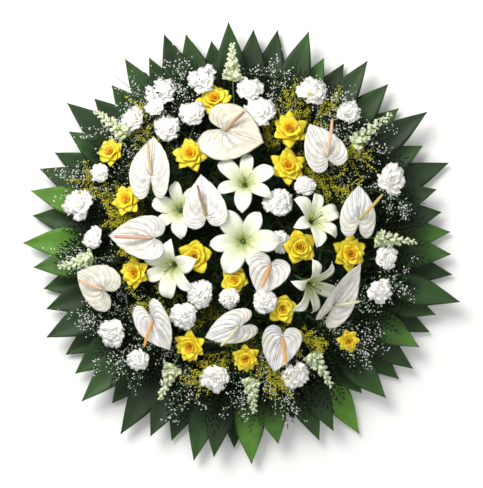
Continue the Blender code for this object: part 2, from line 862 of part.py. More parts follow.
def rim_leaf(points, root, run, rise, roll):
    """Adds one pointed leaf, folded along its rib, that grows out of a face of the band."""
    centre = sum((points[i] for i in root), Vector()) / 4
    side = Vector((-run.y, run.x, 0)).normalized()
    lean = side * math.cos(roll) + Vector((0, 0, math.sin(roll)))
    first = len(points)
    for (share, width), height in zip(LEAF_SECTIONS, rise):
        middle = centre + run * share + Vector((0, 0, height * MM))
        half_width = width * LEAF_WIDTH
        lift = Vector((0, 0, LEAF_FOLD * half_width))
        points += section(middle, lean * half_width, lift, Vector((0, 0, LEAF_THICKNESS / 2)))
    points.append(centre + run + Vector((0, 0, rise[2] * MM)))
    return root_panels(root, first) + section_panels(first, first + 4) + tip_panels(first + 4, first + 8)


def rim_places(chance):
    """Heading in radians and reach of every rim leaf, in order round the wreath."""
    places = []
    ends = OUTLINE_LEAVES[1:] + ((OUTLINE_LEAVES[0][0] + 360, 0),)
    for (heading, reach), (next_heading, _) in zip(OUTLINE_LEAVES, ends):
        places.append((math.radians(heading), reach * MM))
        steps = round((next_heading - heading) / LEAF_STEP)
        for k in range(1, steps):
            between = heading + (next_heading - heading) * k / steps
            between += chance.uniform(-HEADING_SPREAD, HEADING_SPREAD)
            places.append((math.radians(between), LEAF_REACH + chance.uniform(*REACH_SPREAD) * MM))
    return places


def band_stations(headings):
    """Headings of the band's corners: two at each leaf, and more where leaves stand far apart."""
    stations = []
    for i, heading in enumerate(headings):
        ahead = headings[(i + 1) % len(headings)] + (math.tau if i + 1 == len(headings) else 0)
        stations += [(heading - LEAF_ROOT, False), (heading + LEAF_ROOT, True)]
        gap = ahead - heading - 2 * LEAF_ROOT
        count = math.ceil(gap / BAND_FLAT)
        stations += [(heading + LEAF_ROOT + gap * k / count, False) for k in range(1, count)]
    return stations


def collar(tier, leaves, chance):
    """A tier of leaves on the band that holds them to the base, as one closed shape."""
    radius = TRAY_RADIUS if tier.band_height < TRAY_HEIGHT else FOAM_RADIUS
    inner = (radius + FIT_GAP) / math.cos(BAND_FLAT / 2)
    outer = inner + BAND
    low, high = tier.band_height, tier.band_height + BAND
    stations = band_stations([heading for heading, _ in leaves])
    points = []
    for angle, _ in stations:
        for r, z in ((inner, low), (outer, low), (outer, high), (inner, high)):
            points.append(Vector((r * math.cos(angle), r * math.sin(angle), z)))
    triangles = []
    count = len(stations)
    roots = []
    for i in range(count):
        a, b = 4 * i, 4 * ((i + 1) % count)
        if stations[(i + 1) % count][1]:
            roots.append((b + 1, a + 1, a + 2, b + 2))
        for k in range(4):
            if k == 1 and stations[(i + 1) % count][1]:
                continue
            j = (k + 1) % 4
            triangles += [(a + k, a + j, b + j), (a + k, b + j, b + k)]
    for (heading, reach), root in zip(leaves, roots):
        run = direction(heading, math.pi / 2) * (reach - outer)
        roll = math.radians(chance.uniform(-LEAF_ROLL, LEAF_ROLL))
        triangles += rim_leaf(points, root, run, tier.rise, roll)
    return [Shape(points, triangles)]


def even(path, count):
    """The path from end to end in steps of one length."""
    lengths = [(b - a).length for a, b in zip(path, path[1:])]
    points = [path[0]]
    for k in range(1, count):
        left = sum(lengths) * k / count
        for a, b, length in zip(path, path[1:], lengths):
            if left <= length:
                points.append(a.lerp(b, left / length))
                break
            left -= length
    return points + [path[-1]]


def clear_buds(bed, owner, path, radii, buds):
    """The buds that keep clear of every other piece."""
    kept = []
    bare = len(spike(path, radii, []).points)
    for bud in buds:
        grown = Shape(spike(path, radii, [bud]).points[bare:], [(0, 1, 2), (0, 1, 3), (1, 2, 3), (2, 0, 3)])
        foot = path[bud[0]].lerp(path[bud[0] + 1], 0.5)
        belly = sum(grown.points[:3], Vector()) / 3
        spots = grown.points + [belly] + [foot.lerp(p, 0.6) for p in grown.points]
        spots += [belly.lerp(p, 0.5) for p in grown.points]
        clear = all(bed.point_clear(p, 2 * FINE_SPACING, owner) for p in spots)
        if clear and bed.head_fits([grown], FINE_SPACING):
            kept.append(bud)
    return kept


def snapdragon(bed, owner, foot, tip):
    """A spike of florets that are smaller towards the tip."""
    ends = []
    for x, y in (foot, tip):
        ends.append(Vector((x * MM, y * MM, max(dome(math.hypot(x, y) * MM) - 12 * MM, 108 * MM))))
    base, top = ends
    for root, crotch in picks(base.x, base.y):
        for raise_by in (0, 6, -6, 12, -10, 18, 24):
            lift = Vector((0, 0, raise_by * MM))
            path = [root, crotch, base + lift, top + lift * 0.5]
            if bed.path_clear(path, 3 * MM, owner):
                break
        else:
            continue
        break
    else:
        raise ValueError("no clear spike for " + owner)
    bed.add_stem(owner, path, 2.4 * MM)
    bed.picks.append((root, 2.4 * MM))
    flowering = even(path[2:], 5)
    path = path[:2] + flowering
    radii = [2.4 * MM, 2.4 * MM] + [(2.2 - 0.2 * i) * MM for i in range(6)]
    buds = []
    for segment in range(2, 7):
        for side in range(STEM_SIDES):
            size = (18 - 1.9 * (segment - 2)) * MM
            buds.append((segment, side, size, 0.36 * size))
    return spike(path, radii, clear_buds(bed, owner, path, radii, buds))


def spray(bed, owner, foot, tips, look, chance):
    """A branching spray from one pick, with small heads along its outer half."""
    for root, crotch in picks(foot[0] * MM, foot[1] * MM):
        if bed.path_clear([root, crotch], PICK_RADIUS, owner):
            break
    else:
        raise ValueError("no clear foot for " + owner)
    pieces = [tube([root, crotch], [0.92 * PICK_RADIUS, PICK_RADIUS])]
    bed.add_stem(owner, [root, crotch], PICK_RADIUS)
    bed.picks.append((root, 0.92 * PICK_RADIUS))
    for tip in tips:
        end = Vector((tip[0] * MM, tip[1] * MM, 0))
        end.z = max(dome(math.hypot(end.x, end.y)) - look.drop, LOWEST_TIP)
        path = branch_path(bed, owner, crotch, end, look.radius)
        if path is None:
            print("no clear branch for", owner, tip)
            continue
        bed.add_stem(owner, path, look.radius)
        line = [crotch - Vector((0, 0, STEM_OVERLAP)), path[1]] + even(path[2:], 3)
        radii = [look.radius] * 5 + [0.8 * look.radius]
        radii = radii[: len(line)]
        buds = []
        for segment in (2, 3, 4):
            for side in range(STEM_SIDES):
                if (segment + side) % 3 or segment == 4:
                    buds.append((segment, side, look.head * chance.uniform(0.85, 1.2), look.belly))
        pieces.append(spike(line, radii, clear_buds(bed, owner, line, radii, buds)))
    return pieces


def ground_clearance(point, height):
    """The point, raised where it lies too low over the foam or the rim leaves."""
    reach = math.hypot(point.x, point.y)
    floor = foam_height(reach) + 14 * MM if reach < FOAM_RADIUS else 92 * MM
    return Vector((point.x, point.y, max(floor, height)))


def branch_path(bed, owner, start, end, radius):
    """A bent branch from a crotch to a tip that is clear of what is planted, or None."""
    side = Vector((-(end - start).y, (end - start).x, 0)).normalized()
    for raise_by in (0, 8, -6, 16, -12, 24, 34, 46, 60):
        for swing in (0, 10, -10, 20, -20, 32, -32, 45, -45, 60, -60):
            middle = start.lerp(end, 0.5) + side * swing * MM
            middle = ground_clearance(middle, (start.z + end.z) / 2 + (raise_by - 20) * MM)
            near = start.lerp(middle, 0.5)
            near = ground_clearance(near, near.z)
            path = [start, near, middle, end + Vector((0, 0, raise_by * 0.3 * MM))]
            if bed.path_clear(path, radius + 0.6 * MM, owner):
                return path
    return None


def crest(radius, angle):
    """The top of the garland at this heading, on the straight between a ring's corners."""
    half_step = math.pi / SIDES
    off = angle % (2 * half_step) - half_step
    reach = radius * math.cos(half_step) / math.cos(off)
    top = garland_height(radius) + GARLAND_THICKNESS / 2
    return Vector((reach * math.cos(angle), reach * math.sin(angle), top))


def green_leaf(chance):
    """A leaf at a random place of the garland: outwards on the outer ring, any way elsewhere."""
    if chance.random() < SPOKE_SHARE:
        radius = chance.uniform(GARLAND_RINGS[0], GARLAND_RINGS[-1])
        angle = math.tau * chance.choice(GARLAND_SPOKES) / SIDES
    else:
        radius = chance.choice(GARLAND_RINGS[:2] + GARLAND_RINGS[2:] * 2) + GARLAND_WIDTH / 2
        angle = chance.uniform(0, math.tau)
    outer = radius > GARLAND_RINGS[-1]
    heading = angle + chance.uniform(-0.7, 0.7) if outer else chance.uniform(0, math.tau)
    lean = math.radians(chance.uniform(*(OUTER_GREEN_LEAN if outer else GREEN_LEAN)))
    length = chance.uniform(*(OUTER_GREEN_LENGTH if outer else GREEN_LENGTH)) * MM
    root = crest(radius, angle) - Vector((0, 0, GREEN_ROOT))
    up = direction(heading, lean)
    side = up.cross(Vector((0, 0, 1))).normalized()
    normal = side.cross(up)
    droop = Vector((0, 0, -GREEN_DROOP * length))
    spine = [root, root + up * 0.5 * length, root + up * 0.96 * length + droop]
    widths = [2 * MM, chance.uniform(*GREEN_HALF_WIDTH) * MM]
    return spine, pen(spine, widths, [normal, normal], side, GREEN_THICKNESS)


def green_leaves(bed, chance):
    """Leaves that stand up out of the garland wherever the blooms and stems leave room."""
    leaves = []
    for _ in range(GREEN_TRIES):
        if len(leaves) == GREEN_LEAVES:
            break
        spine, leaf = green_leaf(chance)
        checks = sampled(spine + [leaf.points[3], leaf.points[5]], 4 * MM)
        clear = all(bed.point_clear(p, GREEN_CLEARANCE, "greens_garland") for p in checks)
        if clear and bed.head_fits([leaf], FINE_SPACING):
            leaves.append(leaf)
    return leaves


def plant(bed, owner, pieces, finish):
    """Joins a filler's pieces into its node, and keeps what comes later clear of them."""
    bed.add_head(owner, pieces)
    combine(owner, pieces, finish)


def holes(bed):
    """A plain hole for each pick that stands in the foam."""
    cutters = []
    for root, radius in bed.picks:
        low = root - Vector((0, 0, FIT_GAP * 2))
        high = low + Vector((0, 0, 2 * STEM_DEPTH))
        cutters.append(tube([low, high], [radius * FOOT_SHARE + HOLE_PLAY] * 2))
    return cutters


def main():
    """Builds the wreath from the base up, then cuts the foam for every pick."""
    for obj in list(bpy.data.objects):
        bpy.data.objects.remove(obj)
    chance = random.Random(SEED)
    finishes = {
        "tray": material("tray plastic", (0.02, 0.05, 0.03), 0.5),
        "foam": material("floral foam", (0.05, 0.16, 0.07), 0.95),
        "leaf": material("rim leaf", (0.03, 0.13, 0.04), 0.4),
        "greens": material("cut greens", (0.02, 0.07, 0.02), 0.55),
        "white": material("white petal", (0.88, 0.88, 0.84), 0.5),
        "yellow": material("yellow petal", (0.90, 0.68, 0.03), 0.5),
        "mimosa": material("yellow floret", (0.62, 0.52, 0.05), 0.7),
    }
    bed = Bed()
    shown("tray", tray().to_mesh("tray"), finishes["tray"])
    places = rim_places(chance)
    for index, tier in enumerate(TIERS):
        pieces = collar(tier, places[index :: len(TIERS)], chance)
        bed.add_head(tier.name, pieces)
        combine(tier.name, pieces, finishes["leaf"])
    greens = garland(bed)

    bunches = [(f"anthurium_{i + 1:02d}", [head]) for i, head in enumerate(ANTHURIUMS)]
    bunches += [(f"lily_{i + 1}", [head]) for i, head in enumerate(LILIES)]
    bunches += [(f"rose_bunch_{i + 1}", heads) for i, heads in enumerate(ROSE_BUNCHES)]
    bunches += [(f"carnation_bunch_{i + 1:02d}", heads) for i, heads in enumerate(CARNATION_BUNCHES)]
    for owner, made in settle_heads(bed, bunches):
        paths = find_stems(bed, owner, made)
        pieces = joined_stems(paths, [radius for _, _, radius in made])
        for head_pieces, _, _ in made:
            pieces += head_pieces
        combine(owner, pieces, finishes["yellow" if owner.startswith("rose") else "white"])

    for i, plan in enumerate(SNAPDRAGONS):
        owner = f"snapdragon_{i + 1}"
        plant(bed, owner, [snapdragon(bed, owner, *plan)], finishes["white"])
    for kind, plans, look, finish in (
        ("solidago", SOLIDAGO, SOLIDAGO_LOOK, "mimosa"),
        ("gypsophila", GYPSOPHILA, GYPSOPHILA_LOOK, "white"),
    ):
        for i, plan in enumerate(plans):
            owner = f"{kind}_spray_{i + 1}"
            plant(bed, owner, spray(bed, owner, *plan, look, chance), finishes[finish])

    cutters = holes(bed)
    combine("greens_garland", greens + green_leaves(bed, chance), finishes["greens"])
    block = shown("foam_disc", foam().to_mesh("foam_disc"), finishes["foam"])
    combine("foam_disc", cutters, finishes["foam"], "DIFFERENCE", block)


main()
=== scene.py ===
"""Looks of a round funeral wreath that lies face up: its blooms, sprays, greens and rim leaves.

Every piece grows where the plain solid that it replaces stands. The heights of the blooms and
the feet of their stems are read from those solids, and the plan of the planting is repeated
here. Sizes in the plan are millimetres, and everything that is built is in metres.
"""

import json
import logging
import math
import random
from collections.abc import Callable, Iterable, Sequence
from dataclasses import dataclass, field
from enum import Enum
from functools import partial

import bpy
import numpy as np
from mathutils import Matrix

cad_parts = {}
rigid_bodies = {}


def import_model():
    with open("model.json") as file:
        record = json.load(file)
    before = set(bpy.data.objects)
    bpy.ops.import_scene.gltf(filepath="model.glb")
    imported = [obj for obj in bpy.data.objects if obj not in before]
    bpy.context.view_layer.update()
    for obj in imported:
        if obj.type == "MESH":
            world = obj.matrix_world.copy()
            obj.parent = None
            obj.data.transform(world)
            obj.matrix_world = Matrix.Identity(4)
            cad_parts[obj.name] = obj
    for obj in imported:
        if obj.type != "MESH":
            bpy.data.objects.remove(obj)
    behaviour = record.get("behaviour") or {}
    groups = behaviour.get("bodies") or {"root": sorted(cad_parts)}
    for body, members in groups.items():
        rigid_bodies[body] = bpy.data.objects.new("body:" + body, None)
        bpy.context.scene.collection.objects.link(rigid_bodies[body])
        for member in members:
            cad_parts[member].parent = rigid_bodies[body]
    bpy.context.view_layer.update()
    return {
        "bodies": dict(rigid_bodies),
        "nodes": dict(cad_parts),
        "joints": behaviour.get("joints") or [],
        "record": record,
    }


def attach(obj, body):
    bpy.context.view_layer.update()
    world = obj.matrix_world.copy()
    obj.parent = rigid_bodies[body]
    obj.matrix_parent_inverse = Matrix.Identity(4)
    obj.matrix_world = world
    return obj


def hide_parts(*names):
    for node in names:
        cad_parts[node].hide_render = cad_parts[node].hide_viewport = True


LOG = logging.getLogger("wreath")
MM = 0.001
GOLDEN_ANGLE = math.radians(137.5)

# The dome of the planting, as the solids have it
FLOWER_RADIUS = 420 * MM
CROWN_HEIGHT = 208 * MM
EDGE_HEIGHT = 126 * MM
EDGE_LEAN = math.radians(32)
# The foam's surface, as distances from the centre and heights in metres
FOAM_PROFILE = ((0.0, 0.108), (0.130, 0.103), (0.240, 0.088), (0.2997, 0.062))
FOAM_REACH = FOAM_PROFILE[-1][0]

Vec = np.ndarray
Colour = tuple[float, float, float]
Outline = tuple[tuple[float, float], ...]
Draws = np.random.Generator
Object = bpy.types.Object
Material = bpy.types.Material
Socket = bpy.types.NodeSocket
Input = Socket | float | tuple[float, ...]


class Kind(Enum):
    """The kinds of bloom, each with the height of its top over its joint, and that top's rise
    over the dome, in millimetres; a rose's and a carnation's height is a share of its radius.
    """

    ANTHURIUM = (0.0, 9.0)
    LILY = (48.0, 2.0)
    ROSE = (0.84, -6.0)
    CARNATION = (1.02, -9.0)


class Layer(Enum):
    """Material slots of a piece, in order."""

    BLOOM = 0
    STEM = 1
    CORE = 2


class Rod(Enum):
    """The colours of the anthuriums' spadices, by the keys of their finishes."""

    CREAM = "spadix_cream"
    PEACH = "spadix_peach"
    ORANGE = "spadix_orange"
    OLIVE = "spadix_olive"
    BROWN = "spadix_brown"
    PINK = "spadix_pink"


@dataclass(frozen=True)
class Bloom:
    """One bloom of the plan, in millimetres, with its headings in degrees."""

    kind: Kind
    x: float
    y: float
    size: float
    turn: float = 0.0
    width: float = 0.0
    spadix: float = 0.0
    curl: float = 0.0
    toward: tuple[float, ...] = ()
    length: float = 80.0
    lobes: float = 1.0
    rod: Rod = Rod.PEACH
    cupped: bool = False
    cream: float = 0.0


# Short makers of a plan, which take x, y and the size, then the turn, the width and the spadix's
# heading where the kind has them
anthurium = partial(Bloom, Kind.ANTHURIUM)
lily = partial(Bloom, Kind.LILY)
rose = partial(Bloom, Kind.ROSE)
carnation = partial(Bloom, Kind.CARNATION)
ANTHURIUMS = (
    anthurium(-210, 161, 124, 92, 100, 92, curl=14, lobes=2.1, cream=0.4),
    anthurium(-80, 64, 128, 98, 106, 104, curl=10, rod=Rod.BROWN),
    anthurium(-34, 266, 122, -20, 150, 37, curl=-8, length=66, lobes=2.0, rod=Rod.BROWN, cream=0.85),
    anthurium(205, 204, 116, 112, 108, 84, curl=6, length=94, lobes=1.2, cream=0.3),
    anthurium(281, 56, 106, 85, 94, 49, curl=-5, length=84, lobes=1.8, rod=Rod.OLIVE),
    anthurium(-208, 12, 142, 177, 106, 178, curl=8, length=90, rod=Rod.PINK, cream=0.15),
    anthurium(-326, -110, 104, 155, 116, 157, curl=-6, length=64, lobes=1.5, cream=0.6),
    anthurium(-206, -182, 108, 295, 88, 254, curl=10, length=68, lobes=1.9, rod=Rod.ORANGE),
    anthurium(-4, -197, 108, 201, 84, 225, curl=-6, length=64, lobes=1.7, rod=Rod.CREAM),
    anthurium(99, -221, 118, 262, 96, 279, curl=9, length=72, rod=Rod.ORANGE),
    anthurium(
        223, -146, 150, 55, 92, 12, curl=16, toward=(-35, 26), length=62, lobes=1.6, rod=Rod.CREAM, cream=0.35
    ),
    anthurium(71, -52, 98, 250, 100, 246, curl=6, length=62, rod=Rod.ORANGE, cream=0.2),
)
LILIES = (
    lily(12, 148, 78, 84, 0.9, toward=(90, 8)),
    lily(-146, 80, 72, 100, 0.95),
    lily(8, 4, 86, 63, 1.05),
    lily(184, 60, 72, 78, 0.95, toward=(40, 26)),
    lily(-170, -62, 78, 205, 1.0, toward=(225, 24)),
    lily(180, -106, 80, 35, 0.7, toward=(-30, 40)),
)
ROSE_BUNCHES = (
    (rose(-317, 223, 32), rose(-276, 106, 34, 20)),
    (rose(-120, 216, 37, 10), rose(-62, 353, 37, 50)),
    (rose(122, 278, 40, 30), rose(118, 187, 40)),
    (rose(-110, -31, 40, 15, cupped=True), rose(-12, -89, 33, 40, cupped=True)),
    (rose(-257, -72, 33, 30),),
    (rose(144, -10, 40, 25, cupped=True), rose(269, -26, 40)),
    (rose(103, -158, 35, 12, cupped=True), rose(264, -238, 26, 8)),
    (rose(-122, -252, 35), rose(14, -281, 31, 33)),
)
CARNATION_BUNCHES = (
    (carnation(-187, 367, 37), carnation(-202, 328, 24), carnation(-91, 394, 36)),
    (carnation(-259, 300, 30), carnation(-173, 276, 32), carnation(-113, 310, 32)),
    (carnation(26, 370, 32), carnation(50, 317, 37)),
    (carnation(178, 367, 37), carnation(262, 314, 30)),
    (carnation(367, 156, 37),),
    (carnation(156, 137, 24), carnation(94, 96, 35)),
    (carnation(353, -36, 29), carnation(336, -118, 29)),
    (carnation(-336, 168, 24), carnation(-389, 94, 38), carnation(-353, 12, 26)),
    (carnation(-132, -175, 32), carnation(-94, -122, 33)),
    (carnation(-26, -132, 24), carnation(62, -140, 31)),
    (carnation(-307, -216, 35), carnation(-245, -281, 31)),
    (carnation(-58, -324, 33), carnation(132, -317, 33)),
    (carnation(94, 5, 26),),
)
SNAPDRAGONS = (
    ((-17, 388), (-19, 480)),
    ((268, 236), (366, 312)),
    ((322, 12), (425, 2)),
    ((172, -262), (220, -344)),
    ((26, -322), (34, -408)),
    ((-158, -292), (-192, -376)),
    ((-352, -38), (-437, -58)),
    ((-268, 256), (-350, 318)),
)
GYPSOPHILA = (
    ((78, 418), (228, 352), (322, 262), (408, 96)),
    ((-140, 422), (-246, 366), (-318, 284), (-418, 150)),
    ((-412, -12), (-385, -168), (-290, -304), (-120, -388)),
    ((-10, -384), (96, -388), (318, -262), (398, -90)),
)
SOLIDAGO = (
    ((128, 352), (240, 340), (300, 208), (254, 122)),
    ((-378, 150), (-306, 60), (-226, 330), (-262, -24)),
    ((192, -234), (90, -338), (-104, -340), (-246, -140)),
)
# Rim leaves that set the outline, as heading in degrees and reach in millimetres; the rest
# stand between them at even steps
OUTLINE_LEAVES = (
    (3, 516), (21, 548), (35, 555), (47, 530), (55, 540), (72, 540), (80, 530), (93, 537),
    (110, 539), (122, 530), (141, 543), (154, 505), (166, 524), (180, 530), (206, 523), (225, 544),
    (238, 550), (258, 543), (273, 540), (287, 450), (302, 551), (309, 472), (324, 522), (345, 553),
)
LEAF_STEP = 5.9
LEAF_REACH = 514 * MM
# Headings of the leaves that are fresh and bright
FRESH_LEAVES = (166, 180, 273, 302)
PLAN_SEED = 7
# The tint of a blade that has no draw of its own
EVEN = 0.5


# Geometry helpers


def dome(radius: float | Vec) -> float | Vec:
    """Height of the flower faces at this distance from the centre."""
    return EDGE_HEIGHT + (CROWN_HEIGHT - EDGE_HEIGHT) * (1 - (radius / FLOWER_RADIUS) ** 2)


def foam_height(radius: float) -> float:
    """Height of the foam's surface at this distance from the centre."""
    reaches, heights = zip(*FOAM_PROFILE)
    return float(np.interp(radius, reaches, heights))


def direction(heading: float, lean: float) -> Vec:
    """A unit vector that leans from straight up towards a heading, both in radians."""
    return np.array((math.sin(lean) * math.cos(heading), math.sin(lean) * math.sin(heading), math.cos(lean)))


def unit(vector: Vec) -> Vec:
    """The vector at length one; works on rows of vectors too."""
    return vector / np.maximum(np.linalg.norm(vector, axis=-1, keepdims=True), 1e-12)


def facing(bloom: Bloom) -> Vec:
    """The way a bloom faces: outwards with the dome, then by its own lean.

    Args:
        bloom: The bloom's plan.

    Returns:
        A unit vector.
    """
    radius = math.hypot(bloom.x, bloom.y) * MM
    face = direction(math.atan2(bloom.y, bloom.x), EDGE_LEAN * radius / FLOWER_RADIUS)
    if bloom.toward:
        heading, lean = (math.radians(a) for a in bloom.toward)
        face = unit(face + math.tan(lean) * direction(heading, math.pi / 2))
    return face


@dataclass(frozen=True)
class Place:
    """Where a bloom stands: its joint and the three axes of its own frame as columns."""

    origin: Vec
    axes: Vec

    def put(self, points: Vec) -> Vec:
        """An array of points of the bloom's own frame, in the wreath's frame."""
        return (points.reshape(-1, 3) @ self.axes.T + self.origin).reshape(points.shape)


def placing(origin: Vec, face: Vec, turn: float) -> Place:
    """The frame with local +Z along the face and local +Y along the heading.

    Args:
        origin: The joint.
        face: The way that the bloom faces.
        turn: The heading in degrees.

    Returns:
        The bloom's place.
    """
    z = unit(face)
    ahead = direction(math.radians(turn), math.pi / 2)
    y = unit(ahead - z * ahead.dot(z))
    return Place(origin, np.column_stack((np.cross(y, z), y, z)))


def smooth_path(points: Sequence[Vec], count: int) -> Vec:
    """A smooth line through a few points (Catmull-Rom).

    Args:
        points: The points that it passes, in space or in a plane.
        count: How many samples it has.

    Returns:
        The samples as rows.
    """
    p = np.asarray(points, float)
    p = np.vstack((2 * p[0] - p[1], p, 2 * p[-1] - p[-2]))
    spans = len(p) - 3
    t = np.linspace(0, spans, count)
    k = np.minimum(t.astype(int), spans - 1)
    s = (t - k)[:, None]
    a, b, c, d = p[k], p[k + 1], p[k + 2], p[k + 3]
    return 0.5 * (2 * b + (c - a) * s + (2 * a - 5 * b + 4 * c - d) * s**2 + (3 * b - a - 3 * c + d) * s**3)


def profile(knots: Sequence[tuple[float, float]], shares: Vec) -> Vec:
    """A smooth outline read at shares of its length.

    Args:
        knots: The outline, as shares of the length and values.
        shares: Where it is read.

    Returns:
        The values.
    """
    table = smooth_path([np.array(knot) for knot in knots], 61)
    return np.interp(shares, table[:, 0], table[:, 1])


def spun(x: Vec, y: Vec, angle: float) -> tuple[Vec, Vec]:
    """Coordinates turned about the axis by an angle in radians."""
    c, s = math.cos(angle), math.sin(angle)
    return x * c - y * s, x * s + y * c


def on_axis(*heights: float) -> Vec:
    """Points at these heights on a bloom's own axis."""
    return np.array([(0, 0, height) for height in heights])


def round_axis(angle: Vec, reach: float | Vec, height: Vec) -> Vec:
    """Rows of points, or of ways, at headings round the axis.

    Args:
        angle: The headings in radians.
        reach: The distances from the axis.
        height: The heights.

    Returns:
        The rows.
    """
    return np.column_stack((reach * np.cos(angle), reach * np.sin(angle), height))


def level_ring(radius: float, height: float, count: int) -> Vec:
    """Points of a level circle, ending where it starts.

    Args:
        radius: The circle's radius.
        height: Its height.
        count: How many points it has.

    Returns:
        The points as rows.
    """
    angles = np.linspace(0, math.tau, count)
    flat = np.column_stack((np.cos(angles), np.sin(angles), np.zeros(count)))
    return flat * radius + (0, 0, height)


def mesh_points(mesh: bpy.types.Mesh) -> Vec:
    """All vertices of a mesh as rows.

    Args:
        mesh: The mesh.

    Returns:
        Their positions.
    """
    points = np.empty(len(mesh.vertices) * 3)
    mesh.vertices.foreach_get("co", points)
    return points.reshape(-1, 3)


class Skin:
    """Gathers thin closed surfaces for one piece, with a UV map, a tint and a material slot."""

    def __init__(self) -> None:
        """Starts with nothing."""
        self.points: list[Vec] = []
        self.faces: list[Vec] = []
        self.uvs: list[Vec] = []
        self.tints: list[Vec] = []
        self.layers: list[Vec] = []
        self.count = 0

    def add(self, points: Vec, faces: Vec, uvs: Vec, tint: float | Vec, layer: Layer) -> None:
        """Adds points with triangles or quads among them.

        Args:
            points: Rows of positions.
            faces: Rows of 3 or 4 point numbers.
            uvs: A UV pair for each point.
            tint: One draw for all the points, or one for each.
            layer: The material slot.
        """
        if faces.shape[1] == 3:
            faces = np.column_stack((faces, np.full(len(faces), -1)))
        self.points.append(points)
        self.faces.append(np.where(faces < 0, -1, faces + self.count))
        self.uvs.append(uvs)
        self.tints.append(np.broadcast_to(np.asarray(tint, float), (len(points),)))
        self.layers.append(np.full(len(faces), layer.value))
        self.count += len(points)

    def sheet(self, grid: Vec, thickness: float, tint: float, layer: Layer) -> None:
        """Adds a thin closed blade over a grid of points of shape (along, across, 3).

        Args:
            grid: The upper surface's points.
            thickness: How far the under surface lies below it, away from the edges.
            tint: The blade's own draw.
            layer: The material slot.
        """
        rows, columns = grid.shape[:2]
        along = np.gradient(grid, axis=0)
        across = np.gradient(grid, axis=1)
        normal = unit(np.cross(across, along))
        top = np.arange(rows * columns).reshape(rows, columns)
        under = top.copy()
        inner = (rows - 2) * (columns - 2)
        under[1:-1, 1:-1] = rows * columns + np.arange(inner).reshape(rows - 2, columns - 2)
        points = np.vstack((grid.reshape(-1, 3), (grid - normal * thickness)[1:-1, 1:-1].reshape(-1, 3)))
        v, u = np.meshgrid(np.linspace(0, 1, rows), np.linspace(0, 1, columns), indexing="ij")
        uv = np.dstack((u, v))
        uvs = np.vstack((uv.reshape(-1, 2), uv[1:-1, 1:-1].reshape(-1, 2)))
        faces = []
        for sheet, flip in ((top, False), (under, True)):
            corners = sheet[:-1, :-1], sheet[:-1, 1:], sheet[1:, 1:], sheet[1:, :-1]
            quad = np.stack(corners, -1).reshape(-1, 4)
            faces.append(quad[:, ::-1] if flip else quad)
        self.add(points, np.vstack(faces), uvs, tint, layer)

    def tube(self, path: Vec, radii: float | Vec, sides: int, tint: float, layer: Layer) -> None:
        """Adds a closed tube of few sides along a path, without twist.

        Args:
            path: The points of its middle line.
            radii: One radius for all of it, or one at each point.
            sides: How many sides it has.
            tint: The tube's own draw.
            layer: The material slot.
        """
        count = len(path)
        axes = unit(np.gradient(path, axis=0))
        across = np.empty_like(path)
        side = np.array((0.8, 0.6, 0.0)) if abs(axes[0][2]) > 0.6 else np.array((0.0, 0.0, 1.0))
        for i, axis in enumerate(axes):
            side = unit(side - axis * side.dot(axis))
            across[i] = side
        other = np.cross(axes, across)
        angles = np.arange(sides) * math.tau / sides
        ring = across[:, None] * np.cos(angles)[:, None] + other[:, None] * np.sin(angles)[:, None]
        widths = np.broadcast_to(np.asarray(radii, float), (count,))[:, None, None]
        points = (path[:, None] + ring * widths).reshape(-1, 3)
        points = np.vstack((points, path[:1], path[-1:]))
        index = np.arange(count * sides).reshape(count, sides)
        nxt = np.roll(index, -1, axis=1)
        quads = np.stack((index[:-1], nxt[:-1], nxt[1:], index[1:]), -1).reshape(-1, 4)
        foot, tip = count * sides, count * sides + 1
        caps = [(foot, nxt[0][k], index[0][k], -1) for k in range(sides)]
        caps += [(tip, index[-1][k], nxt[-1][k], -1) for k in range(sides)]
        v = np.repeat(np.linspace(0, 1, count), sides)
        uvs = np.column_stack((np.tile(np.arange(sides) / sides, count), v))
        uvs = np.vstack((uvs, ((0.5, 0), (0.5, 1))))
        self.add(points, np.vstack((quads, caps)), uvs, tint, layer)

    def stem(self, path: Vec, radii: float | Vec, sides: int, tint: float = EVEN) -> None:
        """Adds a green tube."""
        self.tube(path, radii, sides, tint, Layer.STEM)

    def mesh(self, mesh: bpy.types.Mesh, layer: Layer) -> None:
        """Adds the triangles of a mesh, with its UV map and its tint.

        Args:
            mesh: The mesh.
            layer: The material slot.
        """
        mesh.calc_loop_triangles()
        faces = np.empty(len(mesh.loop_triangles) * 3, int)
        mesh.loop_triangles.foreach_get("vertices", faces)
        uvs = np.zeros((len(mesh.vertices), 2))
        if mesh.uv_layers:
            corner = np.empty(len(mesh.loops), int)
            mesh.loops.foreach_get("vertex_index", corner)
            flat = np.empty(len(mesh.loops) * 2)
            mesh.uv_layers[0].data.foreach_get("uv", flat)
            uvs[corner] = flat.reshape(-1, 2)
        tint = np.full(len(mesh.vertices), EVEN)
        if "tint" in mesh.attributes:
            mesh.attributes["tint"].data.foreach_get("value", tint)
        self.add(mesh_points(mesh), faces.reshape(-1, 3), uvs, tint, layer)

